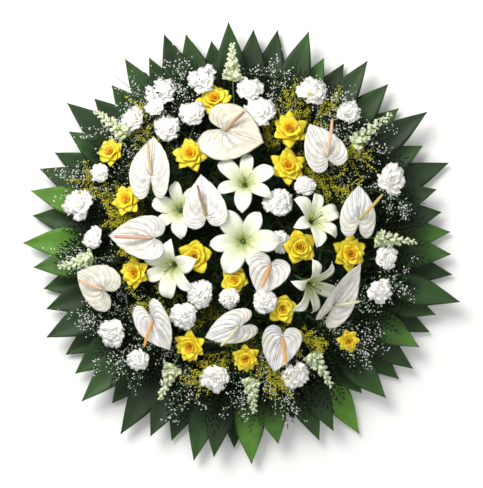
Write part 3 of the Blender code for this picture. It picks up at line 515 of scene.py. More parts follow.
    def build(self, name: str, finishes: Sequence[Material]) -> Object:
        """Makes the object.

        Args:
            name: The piece's name.
            finishes: Materials in the order of Layer.

        Returns:
            The object, linked to the scene.
        """
        points = np.vstack(self.points)
        faces = np.vstack(self.faces).astype(int)
        sizes = np.where(faces[:, 3] < 0, 3, 4)
        corners = faces[faces >= 0]
        mesh = bpy.data.meshes.new(name)
        mesh.vertices.add(len(points))
        mesh.vertices.foreach_set("co", points.ravel())
        mesh.loops.add(len(corners))
        mesh.loops.foreach_set("vertex_index", corners)
        mesh.polygons.add(len(faces))
        mesh.polygons.foreach_set("loop_start", np.concatenate(((0,), np.cumsum(sizes)[:-1])))
        mesh.update(calc_edges=True)
        for finish in finishes:
            mesh.materials.append(finish)
        mesh.polygons.foreach_set("material_index", np.concatenate(self.layers))
        mesh.polygons.foreach_set("use_smooth", np.ones(len(faces), bool))
        uv = mesh.uv_layers.new(name="blade")
        uv.data.foreach_set("uv", np.vstack(self.uvs)[corners].ravel())
        tint = mesh.attributes.new("tint", "FLOAT", "POINT")
        tint.data.foreach_set("value", np.concatenate(self.tints))
        mesh.validate()
        obj = bpy.data.objects.new(name, mesh)
        bpy.context.scene.collection.objects.link(obj)
        return obj


# Nodes


class Graph:
    """Short ways to place and link nodes in a material, a group or a tree."""

    def __init__(self, tree: bpy.types.NodeTree) -> None:
        """Works on this tree."""
        self.tree = tree

    def feed(self, node: bpy.types.Node, inputs: dict) -> None:
        """Links inputs of a node, or sets them on its own sockets.

        Args:
            node: The node.
            inputs: Input name or number to a socket to link or a value to set.
        """
        for key, value in inputs.items():
            if isinstance(value, Socket):
                self.tree.links.new(value, node.inputs[key])
            else:
                node.inputs[key].default_value = value

    def node(self, kind: str, inputs: dict | None = None, **settings) -> bpy.types.Node:
        """Places a node.

        Args:
            kind: The node's type.
            inputs: What its inputs are linked to or set to, as for feed.
            settings: Properties of the node.

        Returns:
            The node.
        """
        node = self.tree.nodes.new(kind)
        for key, value in settings.items():
            setattr(node, key, value)
        self.feed(node, inputs or {})
        return node

    def math(self, operation: str, a: Input, b: Input = 0.0, c: Input = 0.0) -> Socket:
        """A Math node's result."""
        return self.node("ShaderNodeMath", {0: a, 1: b, 2: c}, operation=operation).outputs[0]

    def spread(
        self, value: Input, low: float, high: float, to_low: Input = 0.0, to_high: Input = 1.0
    ) -> Socket:
        """A value mapped from one range to another, held within it."""
        names = {"Value": value, "From Min": low, "From Max": high, "To Min": to_low, "To Max": to_high}
        return self.node("ShaderNodeMapRange", names).outputs[0]

    def blend(self, factor: Input, a: Input, b: Input) -> Socket:
        """Two colours mixed."""
        return self.node("ShaderNodeMix", {0: factor, 6: a, 7: b}, data_type="RGBA").outputs[2]

    def scaled(self, colour: Input, factor: Socket) -> Socket:
        """A colour made lighter or darker."""
        return self.node("ShaderNodeVectorMath", {0: colour, "Scale": factor}, operation="SCALE").outputs[0]

    def noise(self, place: Input, scale: Input, detail: float = 2.0) -> Socket:
        """Noise from a vector."""
        return self.node("ShaderNodeTexNoise", {"Vector": place, "Scale": scale, "Detail": detail}).outputs[0]

    def relief(self, height: Input, strength: float, distance: float) -> Socket:
        """The normal of a bumped surface."""
        settings = {"Height": height, "Strength": strength, "Distance": distance}
        return self.node("ShaderNodeBump", settings).outputs[0]

    def blade(self) -> tuple[Socket, ...]:
        """Reads what every blade carries.

        Returns:
            The place across it and along it, its object coordinates, and its tint.
        """
        uv = self.node("ShaderNodeUVMap", uv_map="blade").outputs[0]
        across, along = self.node("ShaderNodeSeparateXYZ", {0: uv}).outputs[:2]
        place = self.node("ShaderNodeTexCoord").outputs["Object"]
        tint = self.node("ShaderNodeAttribute", attribute_name="tint").outputs["Fac"]
        return across, along, place, tint


class Scatter:
    """Geometry Nodes that set a shape on each point of a host, along its own way and at its own size."""

    def __init__(self) -> None:
        """Builds the tree, with its inputs named."""
        self.tree = bpy.data.node_groups.new("floret scatter", "GeometryNodeTree")
        self.tree.is_modifier = True
        face = self.tree.interface
        face.new_socket("Geometry", in_out="OUTPUT", socket_type="NodeSocketGeometry")
        face.new_socket("Geometry", in_out="INPUT", socket_type="NodeSocketGeometry")
        self.keys: dict[str, str] = {}
        for label, kind in (
            ("Shape", "NodeSocketObject"),
            ("Smallest", "NodeSocketFloat"),
            ("Largest", "NodeSocketFloat"),
            ("Seed", "NodeSocketInt"),
            ("Finish", "NodeSocketMaterial"),
        ):
            self.keys[label] = face.new_socket(label, in_out="INPUT", socket_type=kind).identifier
        self.graph = Graph(self.tree)
        self.entry = self.graph.node("NodeGroupInput").outputs
        self._wire()

    def _draw(self, high: float, salt: int) -> Socket:
        """A seeded draw for each point.

        Args:
            high: The draws run from 0 to this.
            salt: Keeps one draw from another.

        Returns:
            The draw.
        """
        seed = self.graph.node("FunctionNodeIntegerMath", {0: self.entry["Seed"], 1: salt}, operation="ADD")
        inputs = {2: 0.0, 3: high, "Seed": seed.outputs[0]}
        return self.graph.node("FunctionNodeRandomValue", inputs, data_type="FLOAT").outputs[1]

    def _read(self, name: str, kind: str) -> Socket:
        """An attribute of the host's points."""
        return self.graph.node("GeometryNodeInputNamedAttribute", {"Name": name}, data_type=kind).outputs[0]

    def _wire(self) -> None:
        """Places the nodes from the host's points to the finished mesh."""
        node, entry = self.graph.node, self.entry
        shape = node("GeometryNodeObjectInfo", {"Object": entry["Shape"]}).outputs["Geometry"]
        way = {"Vector": self._read("way", "FLOAT_VECTOR")}
        align = node("FunctionNodeAlignRotationToVector", way, axis="Z").outputs[0]
        about = {"Axis": (0, 0, 1), "Angle": self._draw(math.tau, 11)}
        spin = node("FunctionNodeAxisAngleToRotation", about).outputs[0]
        turn = node("FunctionNodeRotateRotation", {0: align, 1: spin}, rotation_space="LOCAL").outputs[0]
        factor = self.graph.spread(self._draw(1.0, 29), 0.0, 1.0, entry["Smallest"], entry["Largest"])
        scale = self.graph.math("MULTIPLY", self._read("size", "FLOAT"), factor)
        inputs = {"Points": entry["Geometry"], "Instance": shape, "Rotation": turn, "Scale": scale}
        placed = node("GeometryNodeInstanceOnPoints", inputs).outputs[0]
        inputs = {"Geometry": placed, "Name": "tint", "Value": self._draw(1.0, 47)}
        store = node("GeometryNodeStoreNamedAttribute", inputs, data_type="FLOAT", domain="INSTANCE")
        real = node("GeometryNodeRealizeInstances", {0: store.outputs[0]}).outputs[0]
        finish = node("GeometryNodeSetMaterial", {"Geometry": real, "Material": entry["Finish"]})
        node("NodeGroupOutput", {0: finish.outputs[0]})

    def grow(
        self, skin: Skin, layer: Layer, places: tuple[Vec, Vec, Vec], shape: Object, finish: Material,
        seed: int, spread: tuple[float, float],
    ) -> None:
        """Runs the tree on a host of points, and adds all the shapes to a skin.

        Args:
            skin: The piece's skin.
            layer: The material slot.
            places: Where the shapes stand, the way each one points, and its size as a factor.
            shape: The object that is repeated.
            finish: The material.
            seed: The seed of the draws.
            spread: Smallest and largest factor drawn on top of the size.
        """
        host_mesh = bpy.data.meshes.new("host")
        host_mesh.vertices.add(len(places[0]))
        host_mesh.vertices.foreach_set("co", np.asarray(places[0], float).ravel())
        way = host_mesh.attributes.new("way", "FLOAT_VECTOR", "POINT")
        way.data.foreach_set("vector", np.asarray(places[1], float).ravel())
        size = host_mesh.attributes.new("size", "FLOAT", "POINT")
        size.data.foreach_set("value", np.asarray(places[2], float))
        host = bpy.data.objects.new("host", host_mesh)
        bpy.context.scene.collection.objects.link(host)
        modifier = host.modifiers.new("scatter", "NODES")
        modifier.node_group = self.tree
        values = {"Shape": shape, "Smallest": spread[0], "Largest": spread[1], "Seed": seed, "Finish": finish}
        for label, value in values.items():
            modifier[self.keys[label]] = value
        graph = bpy.context.evaluated_depsgraph_get()
        grown = host.evaluated_get(graph)
        mesh = bpy.data.meshes.new_from_object(grown, preserve_all_data_layers=True, depsgraph=graph)
        host.modifiers.clear()
        bpy.data.objects.remove(host)
        skin.mesh(mesh, layer)
        bpy.data.meshes.remove(mesh)


# Materials


def rgba(colour: Colour) -> tuple[float, ...]:
    """A colour with full alpha."""
    return (colour[0], colour[1], colour[2], 1.0)


def blank(name: str) -> tuple[Material, bpy.types.Node, Graph]:
    """Starts a material.

    Args:
        name: Its name.

    Returns:
        The material, its shader and its nodes.
    """
    made = bpy.data.materials.new(name)
    made.use_nodes = True
    return made, made.node_tree.nodes["Principled BSDF"], Graph(made.node_tree)


class VeinGroup:
    """Shader group: lines that run along a blade, and the rib in its middle."""

    def __init__(self) -> None:
        """Builds the group once."""
        self.tree = bpy.data.node_groups.new("blade veins", "ShaderNodeTree")
        face = self.tree.interface
        inputs = {"Across": 0.5, "Along": 0.5, "Lines": 10.0, "Sharpness": 3.0, "Fan": 0.0}
        for label, value in inputs.items():
            face.new_socket(label, in_out="INPUT", socket_type="NodeSocketFloat").default_value = value
        for label in ("Line", "Rib"):
            face.new_socket(label, in_out="OUTPUT", socket_type="NodeSocketFloat")
        graph = Graph(self.tree)
        entry = graph.node("NodeGroupInput").outputs
        centred = graph.math("SUBTRACT", entry["Across"], 0.5)
        fan = graph.math("MULTIPLY_ADD", entry["Along"], entry["Fan"], 1.0)
        spread = graph.math("DIVIDE", centred, fan)
        phase = graph.math("MULTIPLY", spread, entry["Lines"])
        wave = graph.math("PINGPONG", phase, 0.5)
        ridge = graph.math("SUBTRACT", 1.0, graph.math("MULTIPLY", wave, 2.0))
        line = graph.math("POWER", ridge, entry["Sharpness"])
        rib = graph.spread(graph.math("ABSOLUTE", centred), 0.0, 0.06, 1.0, 0.0)
        graph.node("NodeGroupOutput", {"Line": line, "Rib": rib})


# The part of the patches' noise that is spread over their full range
PATCH_RANGE = (0.3, 0.7)


class MottleGroup:
    """Shader group: soft patches and fine grain from the piece's own coordinates."""

    def __init__(self) -> None:
        """Builds the group once."""
        self.tree = bpy.data.node_groups.new("petal mottle", "ShaderNodeTree")
        face = self.tree.interface
        face.new_socket("Place", in_out="INPUT", socket_type="NodeSocketVector")
        for label, value in (("Patch scale", 60.0), ("Grain scale", 900.0)):
            face.new_socket(label, in_out="INPUT", socket_type="NodeSocketFloat").default_value = value
        for label in ("Patches", "Grain"):
            face.new_socket(label, in_out="OUTPUT", socket_type="NodeSocketFloat")
        graph = Graph(self.tree)
        entry = graph.node("NodeGroupInput").outputs
        patches = graph.noise(entry["Place"], entry["Patch scale"], 3.0)
        grain = graph.noise(entry["Place"], entry["Grain scale"], 2.0)
        graph.node("NodeGroupOutput", {"Patches": patches, "Grain": grain})


@dataclass(frozen=True)
class BladeFinish:
    """A petal's or a leaf's finish: three colours from foot to edge, lines, and the way it shines.

    The tint attribute lightens or darkens each blade by its own draw, and turns the blades of
    the highest draws towards the fresh colour. The painted glow is painted light: a faint even
    emission in the edge colour, which stands in for the light that passes through thin petals
    and lifts the shade between them.
    """

    name: str
    foot: Colour
    middle: Colour
    edge: Colour
    vein: Colour
    foot_end: float = 0.3
    edge_start: float = 0.8
    lines: float = 12.0
    fan: float = 0.0
    vein_strength: float = 0.2
    rib_strength: float = 0.0
    tint: float = 0.15
    mottle: float = 0.1
    patch_scale: float = 60.0
    roughness: float = 0.5
    coat: float = 0.0
    bump: float = 0.3
    subsurface: float = 0.0
    painted_glow: float = 0.0
    specular: float = 0.5
    fresh: Colour | None = None
    fresh_from: float = 0.5
    unevenness: float = 0.06
    grain: float = 0.4
    relief: float = 0.6 * MM
    coat_roughness: float = 0.25
    subsurface_scale: float = 3 * MM
    subsurface_radius: tuple[float, float, float] = (1.0, 0.95, 0.88)

    def make(self, veins: VeinGroup, mottles: MottleGroup) -> Material:
        """Builds the material.

        Args:
            veins: The shared group of lines.
            mottles: The shared group of patches and grain.

        Returns:
            The material.
        """
        made, shader, graph = blank(self.name)
        across, along, place, tint = graph.blade()
        lines = {"Across": across, "Along": along, "Lines": self.lines, "Fan": self.fan}
        vein = graph.node("ShaderNodeGroup", lines, node_tree=veins.tree).outputs
        settings = {"Place": place, "Patch scale": self.patch_scale}
        mottle = graph.node("ShaderNodeGroup", settings, node_tree=mottles.tree).outputs
        foot = graph.spread(along, 0.0, self.foot_end, 1.0, 0.0)
        edge = graph.spread(along, self.edge_start, 1.0)
        colour = graph.blend(foot, rgba(self.middle), rgba(self.foot))
        colour = graph.blend(edge, colour, rgba(self.edge))
        line = graph.math("MULTIPLY", vein["Line"], self.vein_strength)
        if self.rib_strength:
            line = graph.math("MAXIMUM", line, graph.math("MULTIPLY", vein["Rib"], self.rib_strength))
        colour = graph.blend(line, colour, rgba(self.vein))
        if self.fresh:
            colour = graph.blend(graph.spread(tint, self.fresh_from, 1.0), colour, rgba(self.fresh))
        light = graph.spread(tint, 0.0, 1.0, 1.0 - self.tint, 1.0 + self.tint)
        patch = graph.spread(mottle["Patches"], *PATCH_RANGE, 1.0 - self.mottle, 1.0 + self.mottle)
        dull, bright = self.roughness + self.unevenness, self.roughness - self.unevenness
        height = graph.math("MULTIPLY_ADD", mottle["Grain"], self.grain, vein["Line"])
        finish = {
            "Base Color": graph.scaled(colour, graph.math("MULTIPLY", light, patch)),
            "Roughness": graph.spread(mottle["Patches"], *PATCH_RANGE, bright, dull),
            "Normal": graph.relief(height, self.bump, self.relief),
            "Coat Weight": self.coat,
            "Coat Roughness": self.coat_roughness,
            "Specular IOR Level": self.specular,
            "Subsurface Weight": self.subsurface,
            "Subsurface Scale": self.subsurface_scale,
            "Subsurface Radius": self.subsurface_radius,
            # Painted light: an even glow in the edge colour, at the painted glow's strength
            "Emission Color": rgba(self.edge),
            "Emission Strength": self.painted_glow,
        }
        graph.feed(shader, finish)
        return made


# Main veins of a spathe, and how they fan out; its relief and its finish both follow them
SPATHE_VEINS = 10.0
SPATHE_FAN = -0.5


@dataclass(frozen=True)
class SpatheFinish:
    """The anthurium's spathe: waxy white, quilted between sunk veins, with a green flush.

    The grey of the veins, of the net between them and of the patches is painted shade, for the
    shadow in the hollows and curves of the quilted wax. The strengths say how far the veins, the
    net and the patches go towards the shade, how far the margin and the lobes go towards the
    flush, and how far broad patches go towards the cream. The tint attribute is the least
    cream of a spathe.
    """

    name: str = "spathe wax"
    wax: Colour = (0.89, 0.89, 0.87)
    cream: Colour = (0.80, 0.74, 0.56)
    # Painted shade for the hollows of the quilted wax
    shade: Colour = (0.30, 0.29, 0.31)
    flush: Colour = (0.46, 0.54, 0.24)
    cell_scale: float = 70.0
    patch_scale: float = 42.0
    line_strength: float = 0.46
    net_strength: float = 0.30
    patch_strength: float = 0.62
    margin_flush: float = 0.4
    lobe_flush: float = 0.65
    creaminess: float = 0.55
    roughness: float = 0.3
    coat: float = 0.45
    coat_roughness: float = 0.2
    bump: float = 0.8
    relief: float = 2.2 * MM

    def make(self, veins: VeinGroup, mottles: MottleGroup) -> Material:
        """Builds the material; U runs round the joint and V from the joint to the margin.

        Args:
            veins: The shared group of lines.
            mottles: The shared group of patches and grain.

        Returns:
            The material.
        """
        made, shader, graph = blank(self.name)
        around, out, place, tint = graph.blade()
        lines = {"Across": around, "Along": out, "Lines": SPATHE_VEINS, "Fan": SPATHE_FAN}
        vein = graph.node("ShaderNodeGroup", lines, node_tree=veins.tree).outputs["Line"]
        cells = {"Vector": place, "Scale": self.cell_scale}
        net = graph.node("ShaderNodeTexVoronoi", cells, feature="DISTANCE_TO_EDGE").outputs["Distance"]
        net = graph.spread(net, 0.0, 0.14, 1.0, 0.0)
        hollow = graph.node("ShaderNodeTexVoronoi", cells, feature="SMOOTH_F1").outputs["Distance"]
        pucker = graph.math("SUBTRACT", 1.0, graph.math("POWER", hollow, 2.0))
        settings = {"Place": place, "Patch scale": self.patch_scale}
        patches = graph.node("ShaderNodeGroup", settings, node_tree=mottles.tree).outputs["Patches"]
        inside = graph.spread(out, 0.10, 0.95, 1.0, 0.25)
        shade = graph.math("MULTIPLY", inside, self.patch_strength)
        shade = graph.math("MULTIPLY", graph.spread(patches, 0.42, 0.56), shade)
        line = graph.math("MULTIPLY", vein, self.line_strength)
        line = graph.math("MAXIMUM", line, graph.math("MULTIPLY", net, self.net_strength))
        line = graph.math("MAXIMUM", graph.math("MULTIPLY", line, inside), shade)
        margin = graph.math("MULTIPLY", graph.spread(out, 0.92, 1.0), self.margin_flush)
        side = graph.math("ABSOLUTE", graph.math("SUBTRACT", around, 0.5))
        lobe = graph.math("MULTIPLY", graph.spread(side, 0.34, 0.5), graph.spread(out, 0.3, 0.9))
        green = graph.math("MAXIMUM", margin, graph.math("MULTIPLY", lobe, self.lobe_flush))
        green = graph.math("MULTIPLY", green, graph.spread(graph.noise(place, 9.0), 0.40, 0.60, 0.2, 1.0))
        broad = graph.spread(graph.noise(place, 14.0), 0.48, 0.64)
        yellowed = graph.math("MAXIMUM", graph.math("MULTIPLY", broad, self.creaminess), tint)
        colour = graph.blend(yellowed, rgba(self.wax), rgba(self.cream))
        # Painted shade: the veins, the net and the patches darken the wax towards the grey shade colour
        colour = graph.blend(line, colour, rgba(self.shade))
        height = graph.math("SUBTRACT", graph.math("MULTIPLY", pucker, 1.2), vein)
        finish = {
            "Base Color": graph.blend(green, colour, rgba(self.flush)),
            "Normal": graph.relief(height, self.bump, self.relief),
            "Roughness": self.roughness,
            "Coat Weight": self.coat,
            "Coat Roughness": self.coat_roughness,
        }
        graph.feed(shader, finish)
        return made


@dataclass(frozen=True)
class PlainFinish:
    """A moulded or matt surface with grain, for the tray, the foam and the floor."""

    name: str
    colour: Colour
    roughness: float
    grain_scale: float = 400.0
    grain: float = 0.3
    depth: float = 0.0004
    patchy: float = 0.15

    def make(self, mottles: MottleGroup) -> Material:
        """Builds the material.

        Args:
            mottles: The shared group of patches and grain.

        Returns:
            The material.
        """
        made, shader, graph = blank(self.name)
        place = graph.node("ShaderNodeTexCoord").outputs["Object"]
        settings = {"Place": place, "Patch scale": self.grain_scale * 0.1, "Grain scale": self.grain_scale}
        mottle = graph.node("ShaderNodeGroup", settings, node_tree=mottles.tree).outputs
        light = graph.spread(mottle["Patches"], *PATCH_RANGE, 1.0 - self.patchy, 1.0 + self.patchy)
        finish = {
            "Base Color": graph.scaled(self.colour, light),
            "Normal": graph.relief(mottle["Grain"], self.grain, self.depth),
            "Roughness": self.roughness,
        }
        graph.feed(shader, finish)
        return made


WHITE = (0.93, 0.93, 0.91)
# Each with its colours at the foot, in the middle, at the edge and along the veins
BLADES = {
    "stem": BladeFinish(
        "stem green", (0.05, 0.12, 0.03), (0.07, 0.17, 0.04), (0.10, 0.20, 0.05), (0.04, 0.10, 0.02),
        vein_strength=0.3, roughness=0.45,
    ),
    "lily": BladeFinish(
        "lily petal", (0.54, 0.60, 0.12), (0.90, 0.92, 0.80), WHITE, (0.66, 0.72, 0.32), foot_end=0.46,
        edge_start=0.5, lines=9, vein_strength=0.10, rib_strength=0.55, tint=0.04, mottle=0.04,
        roughness=0.42, coat=0.1, subsurface=0.1,
    ),
    "anther": BladeFinish(
        "lily anther", (0.42, 0.48, 0.16), (0.60, 0.52, 0.20), (0.62, 0.46, 0.16), (0.42, 0.32, 0.08),
        tint=0.1, roughness=0.8,
    ),
    # The roses' orange towards the petals' feet and in the hearts is partly their own deeper gold and partly
    # painted shade inside the blooms
    "rose": BladeFinish(
        "rose petal", (0.92, 0.50, 0.005), (0.95, 0.70, 0.012), (0.96, 0.82, 0.05), (0.90, 0.58, 0.01),
        foot_end=0.45, edge_start=0.55, vein_strength=0.05, tint=0.08, mottle=0.05, roughness=0.5,
        subsurface=0.15,
    ),
    "amber_and_shade": BladeFinish(
        "rose heart and shade", (0.82, 0.28, 0.005), (0.90, 0.46, 0.008), (0.94, 0.64, 0.02), (0.82, 0.36, 0.005),
        foot_end=0.5, edge_start=0.7, vein_strength=0.15, tint=0.08, mottle=0.05, subsurface=0.15,
    ),
    # The carnations' glow is painted light that brightens the shade between their petals
    "carnation": BladeFinish(
        "carnation petal", (0.95, 0.91, 0.76), (0.97, 0.955, 0.90), (0.98, 0.975, 0.955),
        (0.94, 0.92, 0.86), foot_end=0.6, edge_start=0.65, lines=14, vein_strength=0.15, tint=0.03,
        mottle=0.04, roughness=0.7, bump=0.2, painted_glow=0.07,
    ),
    "calyx": BladeFinish(
        "calyx green", (0.07, 0.14, 0.05), (0.12, 0.22, 0.08), (0.16, 0.26, 0.10), (0.05, 0.12, 0.03),
    ),
    "snapdragon": BladeFinish(
        "snapdragon floret", (0.36, 0.50, 0.12), (0.70, 0.80, 0.46), (0.90, 0.92, 0.82), (0.50, 0.64, 0.26),
        foot_end=0.5, edge_start=0.6, tint=0.1, roughness=0.55,
    ),
    "gypsophila": BladeFinish(
        "gypsophila floret", (0.66, 0.70, 0.56), (0.92, 0.93, 0.92), (0.95, 0.96, 0.96), (0.84, 0.86, 0.82),
        tint=0.1, roughness=0.6,
    ),
    "solidago": BladeFinish(
        "solidago floret", (0.32, 0.34, 0.02), (0.60, 0.56, 0.03), (0.74, 0.68, 0.05), (0.34, 0.34, 0.02),
        tint=0.4, roughness=0.7, fresh=(0.92, 0.80, 0.06), fresh_from=0.4,
    ),
    # The rim leaves' near-black feet, fading to lighter tips, are painted shade: the feet lie in the shadow
    # of the blooms above them, and the tips stand out in the light
    "rim": BladeFinish(
        "rim leaf", (0.005, 0.012, 0.003), (0.023, 0.066, 0.012), (0.042, 0.106, 0.018),
        (0.010, 0.036, 0.008), foot_end=0.72, edge_start=0.7, lines=26, vein_strength=0.65,
        rib_strength=0.5, tint=0.5, mottle=0.25, patch_scale=25, roughness=0.46, coat=0.06, bump=0.6,
        specular=0.35, fresh=(0.075, 0.190, 0.018), fresh_from=0.72,
    ),
    # The cut greens' near-black colours are partly the leaves' own dark green and partly painted shade, for
    # the shadow in the gaps among the blooms and over the rim leaves' feet
    "greens": BladeFinish(
        "cut greens", (0.006, 0.015, 0.003), (0.011, 0.028, 0.006), (0.016, 0.036, 0.007),
        (0.006, 0.016, 0.004), lines=9, fan=-0.3, vein_strength=0.4, rib_strength=0.4, tint=0.5,
        mottle=0.25, patch_scale=40, roughness=0.5, coat=0.04, bump=0.4, specular=0.3,
        fresh=(0.045, 0.090, 0.014), fresh_from=0.7,
    ),
    "needle": BladeFinish(
        "fine foliage", (0.020, 0.034, 0.006), (0.056, 0.080, 0.012), (0.120, 0.135, 0.018),
        (0.020, 0.034, 0.006), tint=0.6, roughness=0.6, specular=0.25, fresh=(0.460, 0.400, 0.040),
        fresh_from=0.5,
    ),
}
# Spadices: the colours of the foot, the middle and the tip
RODS = {
    Rod.CREAM: ((0.72, 0.66, 0.42), (0.82, 0.77, 0.56), (0.84, 0.80, 0.62)),
    Rod.PEACH: ((0.76, 0.62, 0.42), (0.82, 0.58, 0.36), (0.84, 0.66, 0.44)),
    Rod.ORANGE: ((0.72, 0.36, 0.10), (0.82, 0.44, 0.12), (0.84, 0.56, 0.22)),
    Rod.OLIVE: ((0.58, 0.52, 0.16), (0.62, 0.50, 0.16), (0.56, 0.46, 0.18)),
    Rod.BROWN: ((0.66, 0.48, 0.12), (0.46, 0.28, 0.18), (0.50, 0.32, 0.24)),
    Rod.PINK: ((0.78, 0.56, 0.34), (0.76, 0.44, 0.30), (0.68, 0.28, 0.22)),
}


@dataclass
class Palette:
    """Every material of the wreath, made once."""

    veins: VeinGroup = field(default_factory=VeinGroup)
    mottles: MottleGroup = field(default_factory=MottleGroup)
    made: dict[str, Material] = field(default_factory=dict)

    def __post_init__(self) -> None:
        """Makes the finishes that the sub-assemblies ask for by key."""
        for key, finish in BLADES.items():
            self.made[key] = finish.make(self.veins, self.mottles)
        for rod, (foot, middle, edge) in RODS.items():
            name = rod.value.replace("_", " ")
            finish = BladeFinish(
                name, foot, middle, edge, foot, foot_end=0.35, edge_start=0.6, vein_strength=0.0,
                mottle=0.12, patch_scale=300, roughness=0.6,
            )
            self.made[rod.value] = finish.make(self.veins, self.mottles)
        self.made["spathe"] = SpatheFinish().make(self.veins, self.mottles)
        plain = {
            "tray": PlainFinish("tray plastic", (0.010, 0.022, 0.014), 0.42, 1500, 0.15),
            "foam": PlainFinish("wet foam", (0.012, 0.045, 0.018), 0.9, 900, 0.8, 0.001),
            "floor": PlainFinish("pale floor", (0.95, 0.95, 0.94), 0.8, 30, 0.0, patchy=0.01),
        }
        for key, finish in plain.items():
            self.made[key] = finish.make(self.mottles)

    def pick(self, *keys: str) -> list[Material]:
        """Materials in the order of Layer."""
        return [self.made[key] for key in keys]


# Reading the solids


@dataclass
class Beds:
    """Reads from the plain solids where each bloom stands and where its stem has its foot."""

    frame: dict

    def points(self, node: str) -> Vec:
        """The vertices of a node's solid."""
        return mesh_points(self.frame["nodes"][node].data)

    def height_at(self, node: str, x: float, y: float, reach: float = 14 * MM) -> float | None:
        """Height of the solid's vertex nearest a place of the plan.

        Args:
            node: The solid's node.
            x: The place.
            y: The place.
            reach: How far off the vertex may be.

        Returns:
            The height, or None where every vertex is farther off.
        """
        points = self.points(node)
        gap = np.hypot(points[:, 0] - x, points[:, 1] - y)
        best = int(np.argmin(gap))
        return float(points[best, 2]) if gap[best] < reach else None

    def place(self, node: str, bloom: Bloom) -> Place:
        """Where a bloom stands, by the vertex of its solid that marks its height.

        Args:
            node: The solid's node.
            bloom: The bloom's plan.

        Returns:
            The bloom's place.
        """
        height, rise = bloom.kind.value
        face = facing(bloom)
        if bloom.kind in (Kind.ROSE, Kind.CARNATION):
            height *= bloom.size
        level = dome(math.hypot(bloom.x, bloom.y) * MM) + rise * MM
        top = np.array((bloom.x * MM, bloom.y * MM, level))
        spot = placing(top - face * height * MM, face, bloom.turn)
        mark = spot.put(self.mark(bloom))
        found = self.height_at(node, mark[0], mark[1])
        if found is None:
            LOG.warning("no mark for %s", node)
            return spot
        return Place(spot.origin + np.array((0, 0, found - mark[2])), spot.axes)

    @staticmethod
    def mark(bloom: Bloom) -> Vec:
        """The marked point of a bloom in its own frame.

        Args:
            bloom: The bloom's plan.

        Returns:
            The point.
        """
        if bloom.kind is Kind.ANTHURIUM:
            return spadix_way(bloom)
        if bloom.kind is Kind.LILY:
            return np.array((0, 0, 66 * MM))
        return np.array((0, 0, bloom.kind.value[0] * bloom.size * MM))

    def foot(self, node: str) -> tuple[Vec, Vec]:
        """Finds a node's pick in the foam.

        Args:
            node: The solid's node.

        Returns:
            The pick's foot and the crotch above it.
        """
        points = self.points(node)
        low = points[:, 2] < points[:, 2].min() + 1 * MM
        foot = points[low].mean(axis=0)
        near = np.hypot(points[:, 0] - foot[0], points[:, 1] - foot[1]) < 5 * MM
        raised = points[near & (points[:, 2] > foot[2] + 40 * MM) & (points[:, 2] < foot[2] + 80 * MM)]
        crotch = foot + (0, 0, (raised[:, 2].mean() - foot[2]) if len(raised) else 50 * MM)
        return foot, crotch


def spadix_way(bloom: Bloom) -> Vec:
    """The spadix's tip in the bloom's own frame."""
    turn = math.radians(90 + bloom.spadix - bloom.turn)
    return direction(turn, math.radians(64)) * bloom.length * MM


# Small shapes that are repeated


def spindle(belt: Vec, low: float, high: float) -> tuple[Vec, Vec]:
    """A closed shape over a belt of points, with a point below it and one above.

    Args:
        belt: The points round the middle.
        low: Height of the point below.
        high: Height of the point above.

    Returns:
        The points and the triangles.
    """
    count = len(belt)
    k = np.arange(count)
    after = (k + 1) % count
    upper = np.column_stack((k, after, np.full(count, count + 1)))
    lower = np.column_stack((after, k, np.full(count, count)))
    return np.vstack((belt, (0, 0, low), (0, 0, high))), np.vstack((upper, lower))


def bead_skin(size: float = 1.0) -> Skin:
    """A three-sided bud along +Z: pointed at both ends and widest half way.

    Args:
        size: Its length.

    Returns:
        The bud.
    """
    turns = np.linspace(0, math.tau, 3, endpoint=False)
    belt = round_axis(turns, 0.44, np.full(3, 0.5))
    points, faces = spindle(belt, 0, 1)
    skin = Skin()
    skin.add(points * size, faces, points[:, (0, 2)] + (0.5, 0), EVEN, Layer.BLOOM)
    return skin


def puff_skin() -> Skin:
    """A tiny open flower of unit radius round +Z, notched between its four petals.

    Returns:
        The flower.
    """
    notched = np.arange(8) % 2
    turns = np.linspace(0, math.tau, 8, endpoint=False)
    reach, rise = np.where(notched, 0.5, 1.0), np.where(notched, 0.15, 0.4)
    belt = round_axis(turns, reach, rise)
    points, faces = spindle(belt, -0.5, 0.3)
    uvs = np.column_stack((np.full(len(points), 0.5), np.append(reach, (0.0, 0.3))))
    skin = Skin()
    skin.add(points, faces, uvs, EVEN, Layer.BLOOM)
    return skin


def sprig_skin(pairs: int = 6, leaflet: float = 0.30, width: float = 0.16) -> Skin:
    """A sprig of fine foliage of unit length along +Z: pairs of narrow leaflets that lean out.

    Args:
        pairs: How many pairs it has, under the one at its tip.
        leaflet: Length of the lowest leaflets.
        width: Half width of a leaflet as a share of its length.

    Returns:
        The sprig.
    """
    skin = Skin()
    faces = np.array(((0, 1, 2), (0, 2, 3), (0, 3, 1), (1, 3, 2)))
    uvs = np.array(((0.5, 0.0), (1.0, 0.6), (0.5, 1.0), (0.0, 0.6)))
    for k in range(2 * pairs + 1):
        foot = np.array((0.0, 0.0, (k // 2) / (pairs + 1)))
        side = 1 if k % 2 else -1
        lean = 0.95 - 0.35 * foot[2]
        way = np.array((side * math.sin(lean), 0.22, math.cos(lean)))
        if k == 2 * pairs:
            way = np.array((0.0, 0.1, 1.0))
        length = leaflet * (1.0 - 0.5 * foot[2])
        across = np.array((way[2], 0.0, -way[0])) * length * width
        middle = foot + way * length * 0.55
        points = np.array((foot, middle + across, foot + way * length, middle - across))
        points[2, 1] += 0.03
        skin.add(points, faces, uvs, EVEN, Layer.BLOOM)
    return skin


